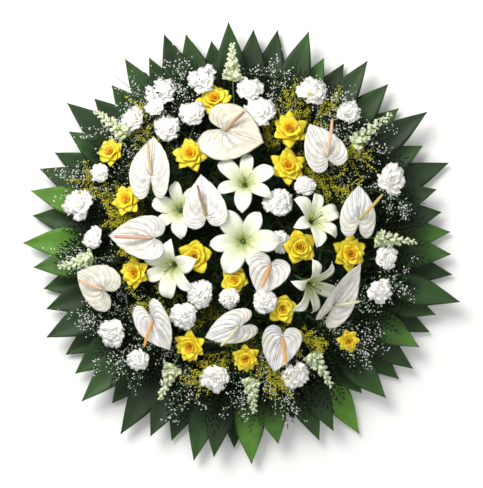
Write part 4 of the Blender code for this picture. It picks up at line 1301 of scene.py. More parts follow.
def leaflet_skin() -> Skin:
    """A leaf of unit length that runs along +Z and droops to one side.

    Returns:
        The leaf.
    """
    v = np.linspace(0, 1, 7)
    half = 0.20 * np.sin(math.pi * v**0.8) ** 0.9 + 0.008
    half[-1] = 0.004
    u = np.array((-1.0, -0.5, 0, 0.5, 1.0))
    x = half[:, None] * u[None]
    y = np.broadcast_to((-0.12 * v**2)[:, None], x.shape) + 0.25 * np.abs(x)
    z = np.broadcast_to(v[:, None], x.shape)
    skin = Skin()
    skin.sheet(np.dstack((x, y, z)), 0.012, EVEN, Layer.BLOOM)
    return skin


# The blooms


@dataclass(frozen=True)
class PetalForm:
    """The form of one petal round a bloom's axis, in metres and radians.

    The foot is a distance from the axis, the lift its height, and the tilt the lean from the
    axis at the foot and at the edge. Bend sets how late the lean changes, and wrap the radius
    that the petal curves round, as a factor of its distance from the axis. The callables give
    the half width for a share of the length, the share of the length kept at each place
    across, and the offset along the normal for places across and along.
    """

    foot: float
    lift: float
    length: float
    tilt: tuple[float, float]
    wrap: float
    half_width: Callable[[Vec], Vec]
    shorten: Callable[[Vec], Vec]
    ripple: Callable[[Vec, Vec], Vec]
    bend: float = 1.0
    rows: int = 7
    columns: int = 8
    steps: int = 40
    most_turn: float = 2.2

    def grid(self, place: Place, azimuth: float) -> Vec:
        """The petal's points.

        Args:
            place: The bloom's frame.
            azimuth: The petal's heading round the axis.

        Returns:
            Points of shape (rows, columns, 3) in the wreath's frame.
        """
        shares = np.linspace(0, 1, self.rows), np.linspace(-1, 1, self.columns)
        v, u = np.meshgrid(*shares, indexing="ij")
        fine = np.linspace(0, 1, self.steps + 1)
        lean = self.tilt[0] + (self.tilt[1] - self.tilt[0]) * fine**self.bend
        step = self.length / self.steps
        reach = self.foot + np.concatenate(((0,), np.cumsum(np.sin(lean[:-1]) * step)))
        rise = self.lift + np.concatenate(((0,), np.cumsum(np.cos(lean[:-1]) * step)))
        share = v * self.shorten(u)
        r = np.interp(share, fine, reach)
        z = np.interp(share, fine, rise)
        angle = np.interp(share, fine, lean)
        curve = np.maximum(r * self.wrap, 2 * MM)
        turn = np.clip(u * self.half_width(v) / curve, -self.most_turn, self.most_turn)
        offset = self.ripple(u, v)
        radial = r - curve * (1 - np.cos(turn)) + offset * np.cos(angle)
        z = z - offset * np.sin(angle)
        local = np.dstack((*spun(radial, curve * np.sin(turn), azimuth), z))
        return place.put(local)[:, ::-1]


@dataclass
class StemWork:
    """Stems from a pick's foot in the foam to each bloom, as green rods."""

    beds: Beds
    radius: float = 2.8 * MM
    neck: float = 14 * MM

    def grow(self, skin: Skin, node: str, places: Iterable[Place]) -> None:
        """Adds the stems of a node: the first from the foot, the others from near the crotch.

        Args:
            skin: The piece's skin.
            node: The solid's node.
            places: Where the blooms stand.
        """
        foot, crotch = self.beds.foot(node)
        for i, place in enumerate(places):
            face = place.axes[:, 2]
            start = foot if i == 0 else foot * 0.2 + crotch * 0.8
            line = [start, crotch, place.origin - face * self.neck, place.origin + face * 2 * MM]
            skin.stem(smooth_path(line, 14), self.radius, 6)


@dataclass
class SpatheBloom:
    """An anthurium: a heart-shaped waxy spathe and the spadix that stands on it."""

    node: str
    plan: Bloom
    beds: Beds
    palette: Palette
    scatter: Scatter
    bead: Object
    seed: int
    rows: int = 20
    columns: int = 81
    thickness: float = 1.2 * MM
    tip_droop: float = 9 * MM
    lobe_droop: float = 26 * MM
    quilt: float = 1.7 * MM
    swell: float = 2.4 * MM
    ripple: float = 1.3 * MM
    stem_radius: float = 3.2 * MM
    floret_pitch: float = 1.5 * MM
    florets_round: int = 9
    # Outline of the heart, as shares of the width and of the length, from the tip to the sinus
    outline: Outline = (
        (0.0, 0.785), (0.028, 0.76), (0.075, 0.72), (0.145, 0.655), (0.24, 0.565), (0.33, 0.455),
        (0.41, 0.33), (0.47, 0.19), (0.50, 0.05), (0.49, -0.06), (0.45, -0.14), (0.38, -0.195),
        (0.28, -0.225), (0.16, -0.212), (0.07, -0.165), (0.02, -0.085), (0.004, -0.025),
    )
    # The spadix: radius in millimetres at shares of its length
    rod: Outline = (
        (0.0, 2.8), (0.12, 3.4), (0.45, 3.3), (0.8, 2.2), (0.95, 1.2), (1.0, 0.4),
    )

    def spathe(self, place: Place) -> Vec:
        """The spathe's grid, from the joint to the margin and round it.

        Args:
            place: The bloom's frame.

        Returns:
            Points of shape (rows, columns, 3).
        """
        plan = self.plan
        draw = np.random.default_rng(self.seed)
        length, width = plan.size * MM, plan.width * MM
        half = np.array(self.outline) * (width, length)
        lobe = half[:-1, 1] < 0
        half[:-1, 1][lobe] *= plan.lobes
        ring = np.vstack((half[::-1] * (-1, 1), half[1:]))
        ring = smooth_path(np.column_stack((ring, np.zeros(len(ring)))), self.columns)[:, :2]
        share = np.linspace(0.015, 1, self.rows)[:, None, None]
        flat = ring[None] * share
        x, y = flat[..., 0], flat[..., 1]
        across = (2 * x / width) ** 2
        along = y / length
        droop = self.tip_droop * np.maximum(along, 0) ** 2 + self.lobe_droop * np.minimum(along, 0) ** 2
        z = plan.curl * MM * across - droop + self.thickness
        rho = share[..., 0] + 0 * x
        around = np.linspace(-1, 1, self.columns)[None] + 0 * x
        z = z + self.ripple * np.sin(around * 9 + draw.uniform(0, 6)) * rho**3
        drift = 0.12 * np.sin(around * 7 + draw.uniform(0, 6)) + 0.10 * np.sin(rho * 6 + draw.uniform(0, 6))
        phase = (around / 2 * SPATHE_VEINS + drift) / (1 + SPATHE_FAN * rho)
        between = 2 * np.abs(phase - np.round(phase))
        z = z + self.quilt * np.sqrt(between) * (1 - rho**5) * np.minimum(rho * 4, 1)
        for pitch, height in ((11.0, 0.45 * MM), (31.0, 0.5 * self.swell)):
            bumps = np.sin(x / MM * math.tau / pitch + draw.uniform(0, 6))
            bumps = bumps * np.sin(y / MM * math.tau / pitch * 0.8 + draw.uniform(0, 6))
            z = z + height * bumps * np.minimum(rho * 3, 1) * (1 - rho**6)
        z = z - 1.0 * MM * np.exp(-((x / (3 * MM)) ** 2)) * (y > 0)
        return place.put(np.dstack((x, y, z)))

    def spadix(self, skin: Skin, place: Place) -> None:
        """Adds the rod, with the tiny florets that cover it.

        Args:
            skin: The bloom's skin.
            place: The bloom's frame.
        """
        tip = spadix_way(self.plan)
        reach = self.plan.length * MM
        rise = np.array((0, 0, 0.07 * reach))
        steps = 21
        line = smooth_path((np.array((0, 0, 2 * MM)), tip * 0.5 + rise, tip * 0.9, tip), steps + 1)
        v = np.linspace(0, 1, steps + 1)
        shares, widths = zip(*self.rod)
        radii = np.interp(v, shares, widths) * MM
        points = place.put(line)
        skin.tube(points, radii, 10, 0.4, Layer.CORE)
        axes = unit(np.gradient(points, axis=0))
        count = int(reach / self.floret_pitch) * self.florets_round
        t = np.arange(count) / count * 0.97
        j = (t * steps).astype(int)
        base = points[j] + (points[j + 1] - points[j]) * (t * steps - j)[:, None]
        side = unit(np.cross(axes[j], (0.3, 0.2, 0.93)))
        turn = (np.arange(count) * GOLDEN_ANGLE)[:, None]
        out = side * np.cos(turn) + np.cross(axes[j], side) * np.sin(turn)
        radius = np.interp(t, v, radii)
        spots = base + out * (radius - 0.3 * MM)[:, None]
        sizes = np.clip(radius / (3.2 * MM), 0.4, 1.0)
        finish = self.palette.made[self.plan.rod.value]
        self.scatter.grow(skin, Layer.CORE, (spots, out, sizes), self.bead, finish, self.seed, (0.9, 1.1))

    def build(self) -> Object:
        """Builds and dresses the bloom.

        Returns:
            The finished object.
        """
        place = self.beds.place(self.node, self.plan)
        skin = Skin()
        skin.sheet(self.spathe(place), self.thickness, self.plan.cream, Layer.BLOOM)
        self.spadix(skin, place)
        StemWork(self.beds, self.stem_radius).grow(skin, self.node, [place])
        finishes = self.palette.pick("spathe", "stem", self.plan.rod.value)
        return skin.build(self.node + "_bloom", finishes)


@dataclass
class LilyBloom:
    """A lily: six recurved petals, a green throat, six stamens and a style."""

    node: str
    plan: Bloom
    beds: Beds
    palette: Palette
    seed: int
    rows: int = 18
    columns: int = 11
    thickness: float = 1.0 * MM
    # Half width at shares of a petal's length, against the widest
    outline: Outline = (
        (0.0, 0.36), (0.14, 0.62), (0.30, 0.92), (0.44, 1.0), (0.58, 0.90), (0.74, 0.56),
        (0.89, 0.21), (1.0, 0.01),
    )
    stem_radius: float = 3.2 * MM
    filament: float = 0.6 * MM
    anther_half: float = 4.5 * MM

    def petal(self, place: Place, k: int, draw: Draws) -> Vec:
        """One petal's grid; every second petal is broader and lies on top.

        Args:
            place: The bloom's frame.
            k: The petal's number.
            draw: The bloom's draws.

        Returns:
            Points of shape (rows, columns, 3).
        """
        broad = k % 2 == 1
        reach = self.plan.size * (1.0 if broad else 0.95) * draw.uniform(0.97, 1.03)
        rise = 2.5 if broad else 0.0
        curl = draw.uniform(-3, 3)
        knots = (
            (3, 8 + rise),
            (0.28 * reach, 34 + rise),
            (0.66 * reach, 50 + rise),
            (0.9 * reach, 45 + rise + curl),
            (reach, 34 + rise + curl),
        )
        spine = smooth_path([np.array((x, 0, z)) for x, z in knots], self.rows) * MM
        v = np.linspace(0, 1, self.rows)
        half = self.plan.size * self.plan.width * (0.30 if broad else 0.235) * MM
        width = half * np.maximum(profile(self.outline, v), 0.02)
        u = np.linspace(-1, 1, self.columns)
        run = unit(np.gradient(spine, axis=0))
        normal = np.column_stack((-run[:, 2], np.zeros(self.rows), run[:, 0]))
        phase = draw.uniform(0, 6)
        cup = 0.30 * width[:, None] * u[None] ** 2 - 0.20 * width[:, None] * np.abs(u[None]) ** 4
        groove = -1.1 * MM * np.exp(-((u[None] / 0.14) ** 2)) * np.sin(math.pi * v[:, None])
        wave = np.sin(v[:, None] * 15 + phase + u[None] * 1.5) * np.abs(u[None]) ** 3
        lift = cup + groove + 1.5 * MM * wave * v[:, None]
        grid = spine[:, None] + normal[:, None] * lift[..., None]
        grid[..., 1] += width[:, None] * u[None]
        heading = math.radians(90 + 60 * k) + draw.uniform(-0.06, 0.06)
        local = np.dstack((*spun(grid[..., 0], grid[..., 1], heading), grid[..., 2]))
        return place.put(local)[:, ::-1]

    def stamens(self, skin: Skin, place: Place, draw: Draws) -> None:
        """Adds the six filaments with their anthers.

        Args:
            skin: The bloom's skin.
            place: The bloom's frame.
            draw: The bloom's draws.
        """
        for k in range(6):
            heading = math.radians(120 + 60 * k) + draw.uniform(-0.1, 0.1)
            out = np.array((math.cos(heading), math.sin(heading), 0))
            reach = draw.uniform(0.20, 0.28) * self.plan.size * MM
            knots = [np.array((0, 0, 12 * MM)), out * reach * 0.45 + (0, 0, 34 * MM)]
            line = smooth_path(knots + [out * reach + (0, 0, 50 * MM)], 8)
            skin.stem(place.put(line), self.filament, 5)
            across = np.array((-out[1], out[0], 0))
            steps = np.linspace(-1, 1, 7)[:, None]
            bar = line[-1] + across * steps * self.anther_half - np.abs(steps) * (0, 0, 1.2 * MM)
            radii = np.array((0.3, 0.9, 1.2, 1.2, 1.2, 0.9, 0.3)) * MM
            skin.tube(place.put(bar), radii, 6, draw.uniform(0, 1), Layer.CORE)

    def build(self) -> Object:
        """Builds and dresses the bloom.

        Returns:
            The finished object.
        """
        place = self.beds.place(self.node, self.plan)
        draw = np.random.default_rng(self.seed)
        skin = Skin()
        for k in range(6):
            skin.sheet(self.petal(place, k, draw), self.thickness, draw.uniform(0.3, 0.9), Layer.BLOOM)
        throat = place.put(on_axis(-4, 4, 10, 14) * MM)
        skin.stem(throat, np.array((3.6, 5.5, 7.0, 4.0)) * MM, 10, 0.4)
        knots = ((0, 0, 10), (1, 0, 40), (0, 0, 60), (0, 0, 65))
        style = smooth_path([np.array(p) * MM for p in knots], 8)
        radii = np.array((1.2, 1.2, 1.2, 1.2, 1.2, 1.4, 2.6, 2.0)) * MM
        skin.stem(place.put(style), radii, 8, 0.4)
        self.stamens(skin, place, draw)
        StemWork(self.beds, self.stem_radius).grow(skin, self.node, [place])
        return skin.build(self.node + "_bloom", self.palette.pick("lily", "stem", "anther"))


@dataclass(frozen=True)
class RoseWhorl:
    """A ring of a rose's petals, with lengths as shares of the bloom's radius."""

    petals: int
    offset: float
    foot: float
    lift: float
    length: float
    tilt: tuple[float, float]
    width: float
    point: float
    wrap: float
    bend: float
    heart: bool = False


STAR_WHORLS = (
    RoseWhorl(6, 0.0, 0.10, 0.10, 1.14, (62, 108), 0.48, 0.36, 3.6, 1.7),
    RoseWhorl(6, 0.5, 0.08, 0.16, 1.04, (48, 94), 0.48, 0.34, 2.8, 1.6),
    RoseWhorl(5, 0.2, 0.06, 0.22, 0.90, (30, 72), 0.50, 0.26, 1.9, 1.4),
    RoseWhorl(4, 0.7, 0.05, 0.25, 0.68, (12, 50), 0.42, 0.24, 1.4, 1.2, True),
    RoseWhorl(3, 0.2, 0.03, 0.27, 0.54, (-2, 22), 0.34, 0.16, 1.1, 1.0, True),
)
CUPPED_WHORLS = (
    RoseWhorl(5, 0.0, 0.10, 0.12, 1.10, (50, 106), 0.54, 0.26, 3.0, 1.9),
    RoseWhorl(5, 0.6, 0.09, 0.18, 0.98, (30, 84), 0.54, 0.24, 1.9, 1.6),
    RoseWhorl(5, 0.2, 0.08, 0.22, 0.84, (12, 58), 0.52, 0.20, 1.5, 1.4),
    RoseWhorl(5, 0.8, 0.06, 0.25, 0.70, (-2, 36), 0.48, 0.16, 1.2, 1.2, True),
    RoseWhorl(4, 0.3, 0.04, 0.27, 0.56, (-10, 14), 0.38, 0.12, 1.0, 1.0, True),
)


@dataclass
class Bunch:
    """Blooms of one kind that share a pick."""

    node: str
    plans: Sequence[Bloom]
    beds: Beds
    palette: Palette
    seed: int
    stem_radius: float = 2.8 * MM
    finishes: tuple[str, str, str] = ("", "", "")

    def head(self, skin: Skin, place: Place, plan: Bloom, draw: Draws) -> None:
        """Adds one bloom; each kind does it its own way."""
        raise NotImplementedError

    def build(self) -> Object:
        """Builds and dresses the bunch.

        Returns:
            The finished object.
        """
        skin = Skin()
        places = [self.beds.place(self.node, plan) for plan in self.plans]
        for i, (place, plan) in enumerate(zip(places, self.plans)):
            self.head(skin, place, plan, np.random.default_rng(self.seed + i))
        StemWork(self.beds, self.stem_radius).grow(skin, self.node, places)
        return skin.build(self.node + "_blooms", self.palette.pick(*self.finishes))


@dataclass
class RoseBunch(Bunch):
    """Roses on one pick: rings of pointed petals, reflexed outside and folded round the heart."""

    finishes: tuple[str, str, str] = ("rose", "stem", "amber_and_shade")
    petal_thickness: float = 0.5 * MM

    def petal(self, whorl: RoseWhorl, size: float, reach: float, draw: Draws) -> PetalForm:
        """The form of one petal.

        Args:
            whorl: The ring that it belongs to.
            size: The bloom's radius.
            reach: This petal's own share of the ring's length.
            draw: The bloom's draws.

        Returns:
            The form.
        """
        phase = draw.uniform(0, 6)
        slack = draw.uniform(-16, 12)
        tilt = (math.radians(whorl.tilt[0]), math.radians(whorl.tilt[1] + slack))
        curl = draw.uniform(0.02, 0.22) * size if not whorl.heart else 0.03 * size
        return PetalForm(
            foot=size * whorl.foot,
            lift=size * whorl.lift,
            length=size * whorl.length * reach,
            tilt=tilt,
            wrap=whorl.wrap,
            half_width=lambda v: size * whorl.width * (0.30 + 0.95 * v**0.75 - 0.55 * v**4),
            shorten=lambda u: 1 - whorl.point * np.abs(u) ** 1.5,
            ripple=lambda u, v: curl * np.abs(u) ** 2.5 * v**2
            + size * 0.06 * np.sin(3.6 * u + phase) * v**2,
            bend=whorl.bend,
            rows=8,
            columns=9,
        )

    def head(self, skin: Skin, place: Place, plan: Bloom, draw: Draws) -> None:
        """Adds one rose.

        Args:
            skin: The bunch's skin.
            place: The bloom's frame.
            plan: The bloom's plan.
            draw: The bloom's draws.
        """
        size = plan.size * MM
        phase = math.radians(plan.turn)
        for ring, whorl in enumerate(CUPPED_WHORLS if plan.cupped else STAR_WHORLS):
            for k in range(whorl.petals):
                uneven = 1 + 0.10 * math.sin(4.8 * k + 7 * phase) if ring == 0 else draw.uniform(0.84, 1.08)
                form = self.petal(whorl, size, uneven, draw)
                heading = phase + math.tau * (k + whorl.offset) / whorl.petals
                grid = form.grid(place, heading + draw.uniform(-0.25, 0.25) * (ring > 0))
                layer = Layer.CORE if whorl.heart else Layer.BLOOM
                skin.sheet(grid, self.petal_thickness, draw.uniform(0, 1), layer)
        cup = place.put(on_axis(0, 0.08, 0.2, 0.34) * size)
        skin.stem(cup, np.array((0.12, 0.22, 0.24, 0.12)) * size, 8)


@dataclass
class CarnationBunch(Bunch):
    """Carnations on one pick: a calyx that bursts into frilled, toothed petals."""

    stem_radius: float = 2.2 * MM
    finishes: tuple[str, str, str] = ("carnation", "stem", "calyx")
    petal_thickness: float = 0.4 * MM
    petals: int = 24
    fullness: float = 1.1

    def petal(self, t: float, size: float, draw: Draws) -> PetalForm:
        """The form of one petal.

        Args:
            t: 0 for the heart's petals, up to 1 for the outermost.
            size: The bloom's radius.
            draw: The bloom's draws.

        Returns:
            The form.
        """
        phase = draw.uniform(0, 6)
        teeth = draw.uniform(0, 3)
        tilt = (math.radians(2 + 36 * t), math.radians(10 + 98 * t + draw.uniform(-10, 10)))
        return PetalForm(
            foot=size * (0.02 + 0.08 * t),
            lift=size * 0.42,
            length=size * (0.66 + 0.38 * t) * draw.uniform(0.86, 1.02 + 0.20 * t),
            tilt=tilt,
            wrap=1.4 + 2.0 * t,
            half_width=lambda v: size * (0.08 + 0.50 * v),
            shorten=lambda u: 1 - 0.20 * np.abs(u) ** 2 - 0.07 * np.abs(np.sin(6 * u + teeth)),
            ripple=lambda u, v: size * 0.15 * np.sin(4.4 * u + phase) * v**1.2
            + size * 0.045 * np.sin(10 * u + teeth) * v**2,
            rows=5,
            columns=14,
        )

    def head(self, skin: Skin, place: Place, plan: Bloom, draw: Draws) -> None:
        """Adds one carnation.

        Args:
            skin: The bunch's skin.
            place: The bloom's frame.
            plan: The bloom's plan.
            draw: The bloom's draws.
        """
        size = plan.size * self.fullness * MM
        for k in range(self.petals):
            form = self.petal(k / (self.petals - 1), size, draw)
            grid = form.grid(place, k * GOLDEN_ANGLE + draw.uniform(-0.2, 0.2))
            skin.sheet(grid, self.petal_thickness, draw.uniform(0, 1), Layer.BLOOM)
        heart = place.put(on_axis(0.4, 0.6, 0.75, 0.84) * size)
        skin.tube(heart, np.array((0.2, 0.50, 0.48, 0.16)) * size, 9, EVEN, Layer.BLOOM)
        cup = place.put(on_axis(0, 0.1, 0.4, 0.52) * size)
        skin.tube(cup, np.array((0.11, 0.19, 0.23, 0.2)) * size, 8, EVEN, Layer.CORE)


# The sprays


@dataclass
class SnapdragonSpike:
    """A spike of pale florets, open at its foot and in bud at its tip."""

    node: str
    ends: tuple[tuple[float, float], tuple[float, float]]
    beds: Beds
    palette: Palette
    seed: int
    florets: int = 28
    floret_size: float = 27 * MM
    petal_thickness: float = 0.4 * MM
    steps: int = 40

    def floret(
        self, skin: Skin, place: Place, size: float, openness: float, draw: Draws
    ) -> None:
        """Adds one floret: a short tube with five lobes, closed while it is a bud.

        Args:
            skin: The spike's skin.
            place: The floret's frame.
            size: Its length.
            openness: 0 for a bud, up to 1.
            draw: The spike's draws.
        """
        tube = place.put(on_axis(0, 0.3, 0.6) * size)
        skin.tube(tube, np.array((0.10, 0.22, 0.24)) * size, 6, 0.3, Layer.BLOOM)
        form = PetalForm(
            foot=0.16 * size,
            lift=0.36 * size,
            length=0.64 * size,
            tilt=(math.radians(2), math.radians(8 + 96 * openness)),
            wrap=1.0 + openness,
            half_width=lambda v: size * (0.15 + 0.20 * v - 0.17 * v**4),
            shorten=lambda u: 1 - 0.2 * np.abs(u) ** 2,
            ripple=lambda u, v: size * 0.05 * np.sin(5 * u) * v,
            rows=4,
            columns=5,
        )
        for k in range(5):
            grid = form.grid(place, k * math.tau / 5 + draw.uniform(-0.1, 0.1))
            skin.sheet(grid, self.petal_thickness, draw.uniform(0, 1), Layer.BLOOM)

    def build(self) -> Object:
        """Builds and dresses the spike.

        Returns:
            The finished object.
        """
        draw = np.random.default_rng(self.seed)
        foot, crotch = self.beds.foot(self.node)
        knots = [foot, crotch]
        for x, y in self.ends:
            height = self.beds.height_at(self.node, x * MM, y * MM)
            height = height or dome(math.hypot(x, y) * MM) - 12 * MM
            knots.append(np.array((x * MM, y * MM, height)))
        skin = Skin()
        skin.stem(smooth_path(knots, self.steps), np.linspace(2.2, 1.0, self.steps) * MM, 7)
        # The florets stand on the last of the three spans
        spine = smooth_path(knots, 3 * self.steps + 1)[2 * self.steps :]
        axes = unit(np.gradient(spine, axis=0))
        for k in range(self.florets):
            t = k / self.florets
            i = int(t * self.steps)
            axis = axes[i]
            side = unit(np.cross(axis, (0.2, 0.3, 0.93)))
            turn = k * GOLDEN_ANGLE
            out = side * math.cos(turn) + np.cross(axis, side) * math.sin(turn)
            way = unit(out + axis * (0.45 + 0.8 * t))
            size = self.floret_size * (1 - 0.66 * t) * draw.uniform(0.85, 1.1)
            place = placing(spine[i], way, math.degrees(draw.uniform(0, 6)))
            self.floret(skin, place, size, max(0.0, draw.uniform(0.3, 0.7) - 0.9 * t), draw)
        return skin.build(self.node + "_spike", self.palette.pick("snapdragon", "stem"))


@dataclass(frozen=True)
class SprayForm:
    """A kind of spray: its finish, its twigs and its florets, in millimetres.

    The spread is how far the twigs fan out sideways, and the start is the share of a branch
    that stays bare.
    """

    finish: str
    suffix: str
    twigs: int
    twig_length: tuple[float, float]
    florets: int
    floret_size: float
    stalk: tuple[float, float]
    stalk_radius: float
    spread: float
    start: float
    twig_radius: float = 0.45


CLOUD = SprayForm("gypsophila", "_cloud", 24, (30, 84), 15, 2.1, (4, 18), 0.22, 1.7, 0.22)
PLUME = SprayForm("solidago", "_plume", 26, (24, 66), 46, 3.7, (0.5, 8), 0.0, 1.5, 0.15)


@dataclass
class Spray:
    """A branching spray from one pick, with small florets round the end of each branch."""

    node: str
    tips: Sequence[tuple[float, float]]
    form: SprayForm
    beds: Beds
    palette: Palette
    scatter: Scatter
    shape: Object
    seed: int
    steps: int = 23

    def branch(self, crotch: Vec, x: float, y: float) -> Vec | None:
        """A branch's line from the crotch to its tip.

        Args:
            crotch: Where the branches part.
            x: The tip's place in the plan, in millimetres.
            y: The tip's place in the plan, in millimetres.

        Returns:
            The line's points, or None where the solid has no such branch.
        """
        height = self.beds.height_at(self.node, x * MM, y * MM, 20 * MM)
        if height is None:
            return None
        end = np.array((x * MM, y * MM, height))
        middle = (crotch + end) / 2
        reach = math.hypot(middle[0], middle[1])
        floor = foam_height(reach) + 16 * MM if reach < FOAM_REACH else 92 * MM
        middle[2] = max(middle[2] - 6 * MM, floor)
        return smooth_path([crotch, middle, end], self.steps + 1)

    def twig(self, path: Vec, axes: Vec, k: int, draw: Draws) -> Vec:
        """One side twig's line, which fans out sideways and up from the branch.

        Args:
            path: The branch's points.
            axes: The way that the branch runs at each point.
            k: The twig's number.
            draw: The spray's draws.

        Returns:
            The twig's points.
        """
        form = self.form
        t = form.start + (1 - form.start) * (k + 0.5) / form.twigs
        i = min(int(t * self.steps), self.steps - 1)
        level = np.array((-axes[i][1], axes[i][0], 0.0))
        fan = draw.uniform(-1, 1) * form.spread
        up = np.array((0, 0, draw.uniform(-0.05, 0.55)))
        way = unit(axes[i] * 0.7 + level * fan + up)
        length = draw.uniform(*form.twig_length) * MM
        bow = np.array((0, 0, 0.06 * length))
        return smooth_path([path[i], path[i] + way * length * 0.5 + bow, path[i] + way * length], 6)

    def build(self) -> Object:
        """Builds and dresses the spray.

        Returns:
            The finished object.
        """
        form = self.form
        draw = np.random.default_rng(self.seed)
        foot, crotch = self.beds.foot(self.node)
        skin = Skin()
        pick = smooth_path([foot, (foot + crotch) / 2, crotch], 6)
        skin.stem(pick, 2.2 * MM, 6)
        spots, ways = [], []
        for x, y in self.tips:
            path = self.branch(crotch, x, y)
            if path is None:
                LOG.warning("%s has no branch at %s, %s", self.node, x, y)
                continue
            skin.stem(path, np.linspace(1.5, 0.7, len(path)) * MM, 5)
            axes = unit(np.gradient(path, axis=0))
            for k in range(form.twigs):
                twig = self.twig(path, axes, k, draw)
                skin.stem(twig, np.linspace(1.6, 0.8, len(twig)) * form.twig_radius * MM, 3)
                for _ in range(form.florets):
                    at = twig[draw.integers(1, 6)]
                    stray = unit(draw.normal(size=3) + (0, 0, 0.8))
                    end = at + stray * draw.uniform(*form.stalk) * MM
                    if form.stalk_radius:
                        skin.stem(np.array((at, end)), form.stalk_radius * MM, 3)
                    spots.append(end)
                    ways.append(unit(stray + (0, 0, 0.7)))
        places = np.array(spots), np.array(ways), np.full(len(spots), form.floret_size * MM)
        finish = self.palette.made[form.finish]
        self.scatter.grow(skin, Layer.BLOOM, places, self.shape, finish, self.seed, (0.7, 1.3))
        return skin.build(self.node + form.suffix, self.palette.pick(form.finish, "stem"))


# The leaves


@dataclass(frozen=True)
class RimLeaf:
    """One rim leaf's heading in radians, its tip's distance from the centre, and its freshness."""

    heading: float
    reach: float
    fresh: bool


def rim_leaves(chance: random.Random) -> list[RimLeaf]:
    """The rim leaves in order round the wreath, as the solids have them.

    Args:
        chance: The draws of the plan.

    Returns:
        The leaves.
    """
    leaves = []
    ends = OUTLINE_LEAVES[1:] + ((OUTLINE_LEAVES[0][0] + 360, 0),)
    for (heading, reach), (next_heading, _) in zip(OUTLINE_LEAVES, ends):
        leaves.append(RimLeaf(math.radians(heading), reach * MM, heading in FRESH_LEAVES))
        steps = round((next_heading - heading) / LEAF_STEP)
        for k in range(1, steps):
            between = heading + (next_heading - heading) * k / steps + chance.uniform(-0.8, 0.8)
            tip = LEAF_REACH + chance.uniform(-22, 14) * MM
            leaves.append(RimLeaf(math.radians(between), tip, False))
    return leaves


@dataclass
class LeafCollar:
    """A tier of pointed rim leaves on its band."""

    node: str
    band_radius: float
    height: float
    rise: tuple[float, float, float]
    leaves: Sequence[RimLeaf]
    rolls: Sequence[float]
    palette: Palette
    seed: int
    half_width: float = 37 * MM
    thickness: float = 1.0 * MM
    band_half: float = 3.0 * MM
    rows: int = 22
    columns: int = 9
    # Half width at shares of a leaf's length, against the widest
    outline: Outline = (
        (0.0, 0.16), (0.12, 0.46), (0.30, 0.84), (0.45, 1.0), (0.62, 0.94), (0.81, 0.51),
        (1.0, 0.0),
    )

    def blade(self, skin: Skin, leaf: RimLeaf, roll: float, draw: Draws) -> None:
        """Adds one leaf, folded along its rib, with a slight twist and droop of its own.

        Args:
            skin: The tier's skin.
            leaf: Where the leaf points and how far it reaches.
            roll: How far it is turned about its rib, in radians.
            draw: The tier's draws.
        """
        v = np.linspace(0, 1, self.rows)
        rise = np.interp(v, (0, 0.36, 0.72, 1), (0.0, *self.rise)) * MM
        width = profile(self.outline, v) * self.half_width * draw.uniform(0.9, 1.02)
        width = np.maximum(width, 0.4 * MM)
        u = np.linspace(-1, 1, self.columns)
        x = np.broadcast_to((v * (leaf.reach - self.band_radius))[:, None], (self.rows, self.columns))
        y = width[:, None] * u[None]
        fold = 0.28 * np.abs(u[None]) ** 1.3
        lean = math.sin(roll) * u[None]
        wave = 0.7 * MM * np.sin(v[:, None] * 11 + draw.uniform(0, 6)) * np.abs(u[None])
        z = rise[:, None] + width[:, None] * (fold + lean) + wave
        grid = np.dstack((*spun(x + self.band_radius, y, leaf.heading), z + self.height))
        tint = draw.uniform(0.9, 1.0) if leaf.fresh else draw.uniform(0.0, 0.85)
        skin.sheet(grid, self.thickness, tint, Layer.BLOOM)

    def build(self) -> Object:
        """Builds and dresses the tier.

        Returns:
            The finished object.
        """
        draw = np.random.default_rng(self.seed)
        skin = Skin()
        for leaf, roll in zip(self.leaves, self.rolls):
            self.blade(skin, leaf, roll, draw)
        skin.stem(level_ring(self.band_radius - 3.4 * MM, self.height, 97), self.band_half, 6)
        return skin.build(self.node + "_leaves", self.palette.pick("rim", "stem"))


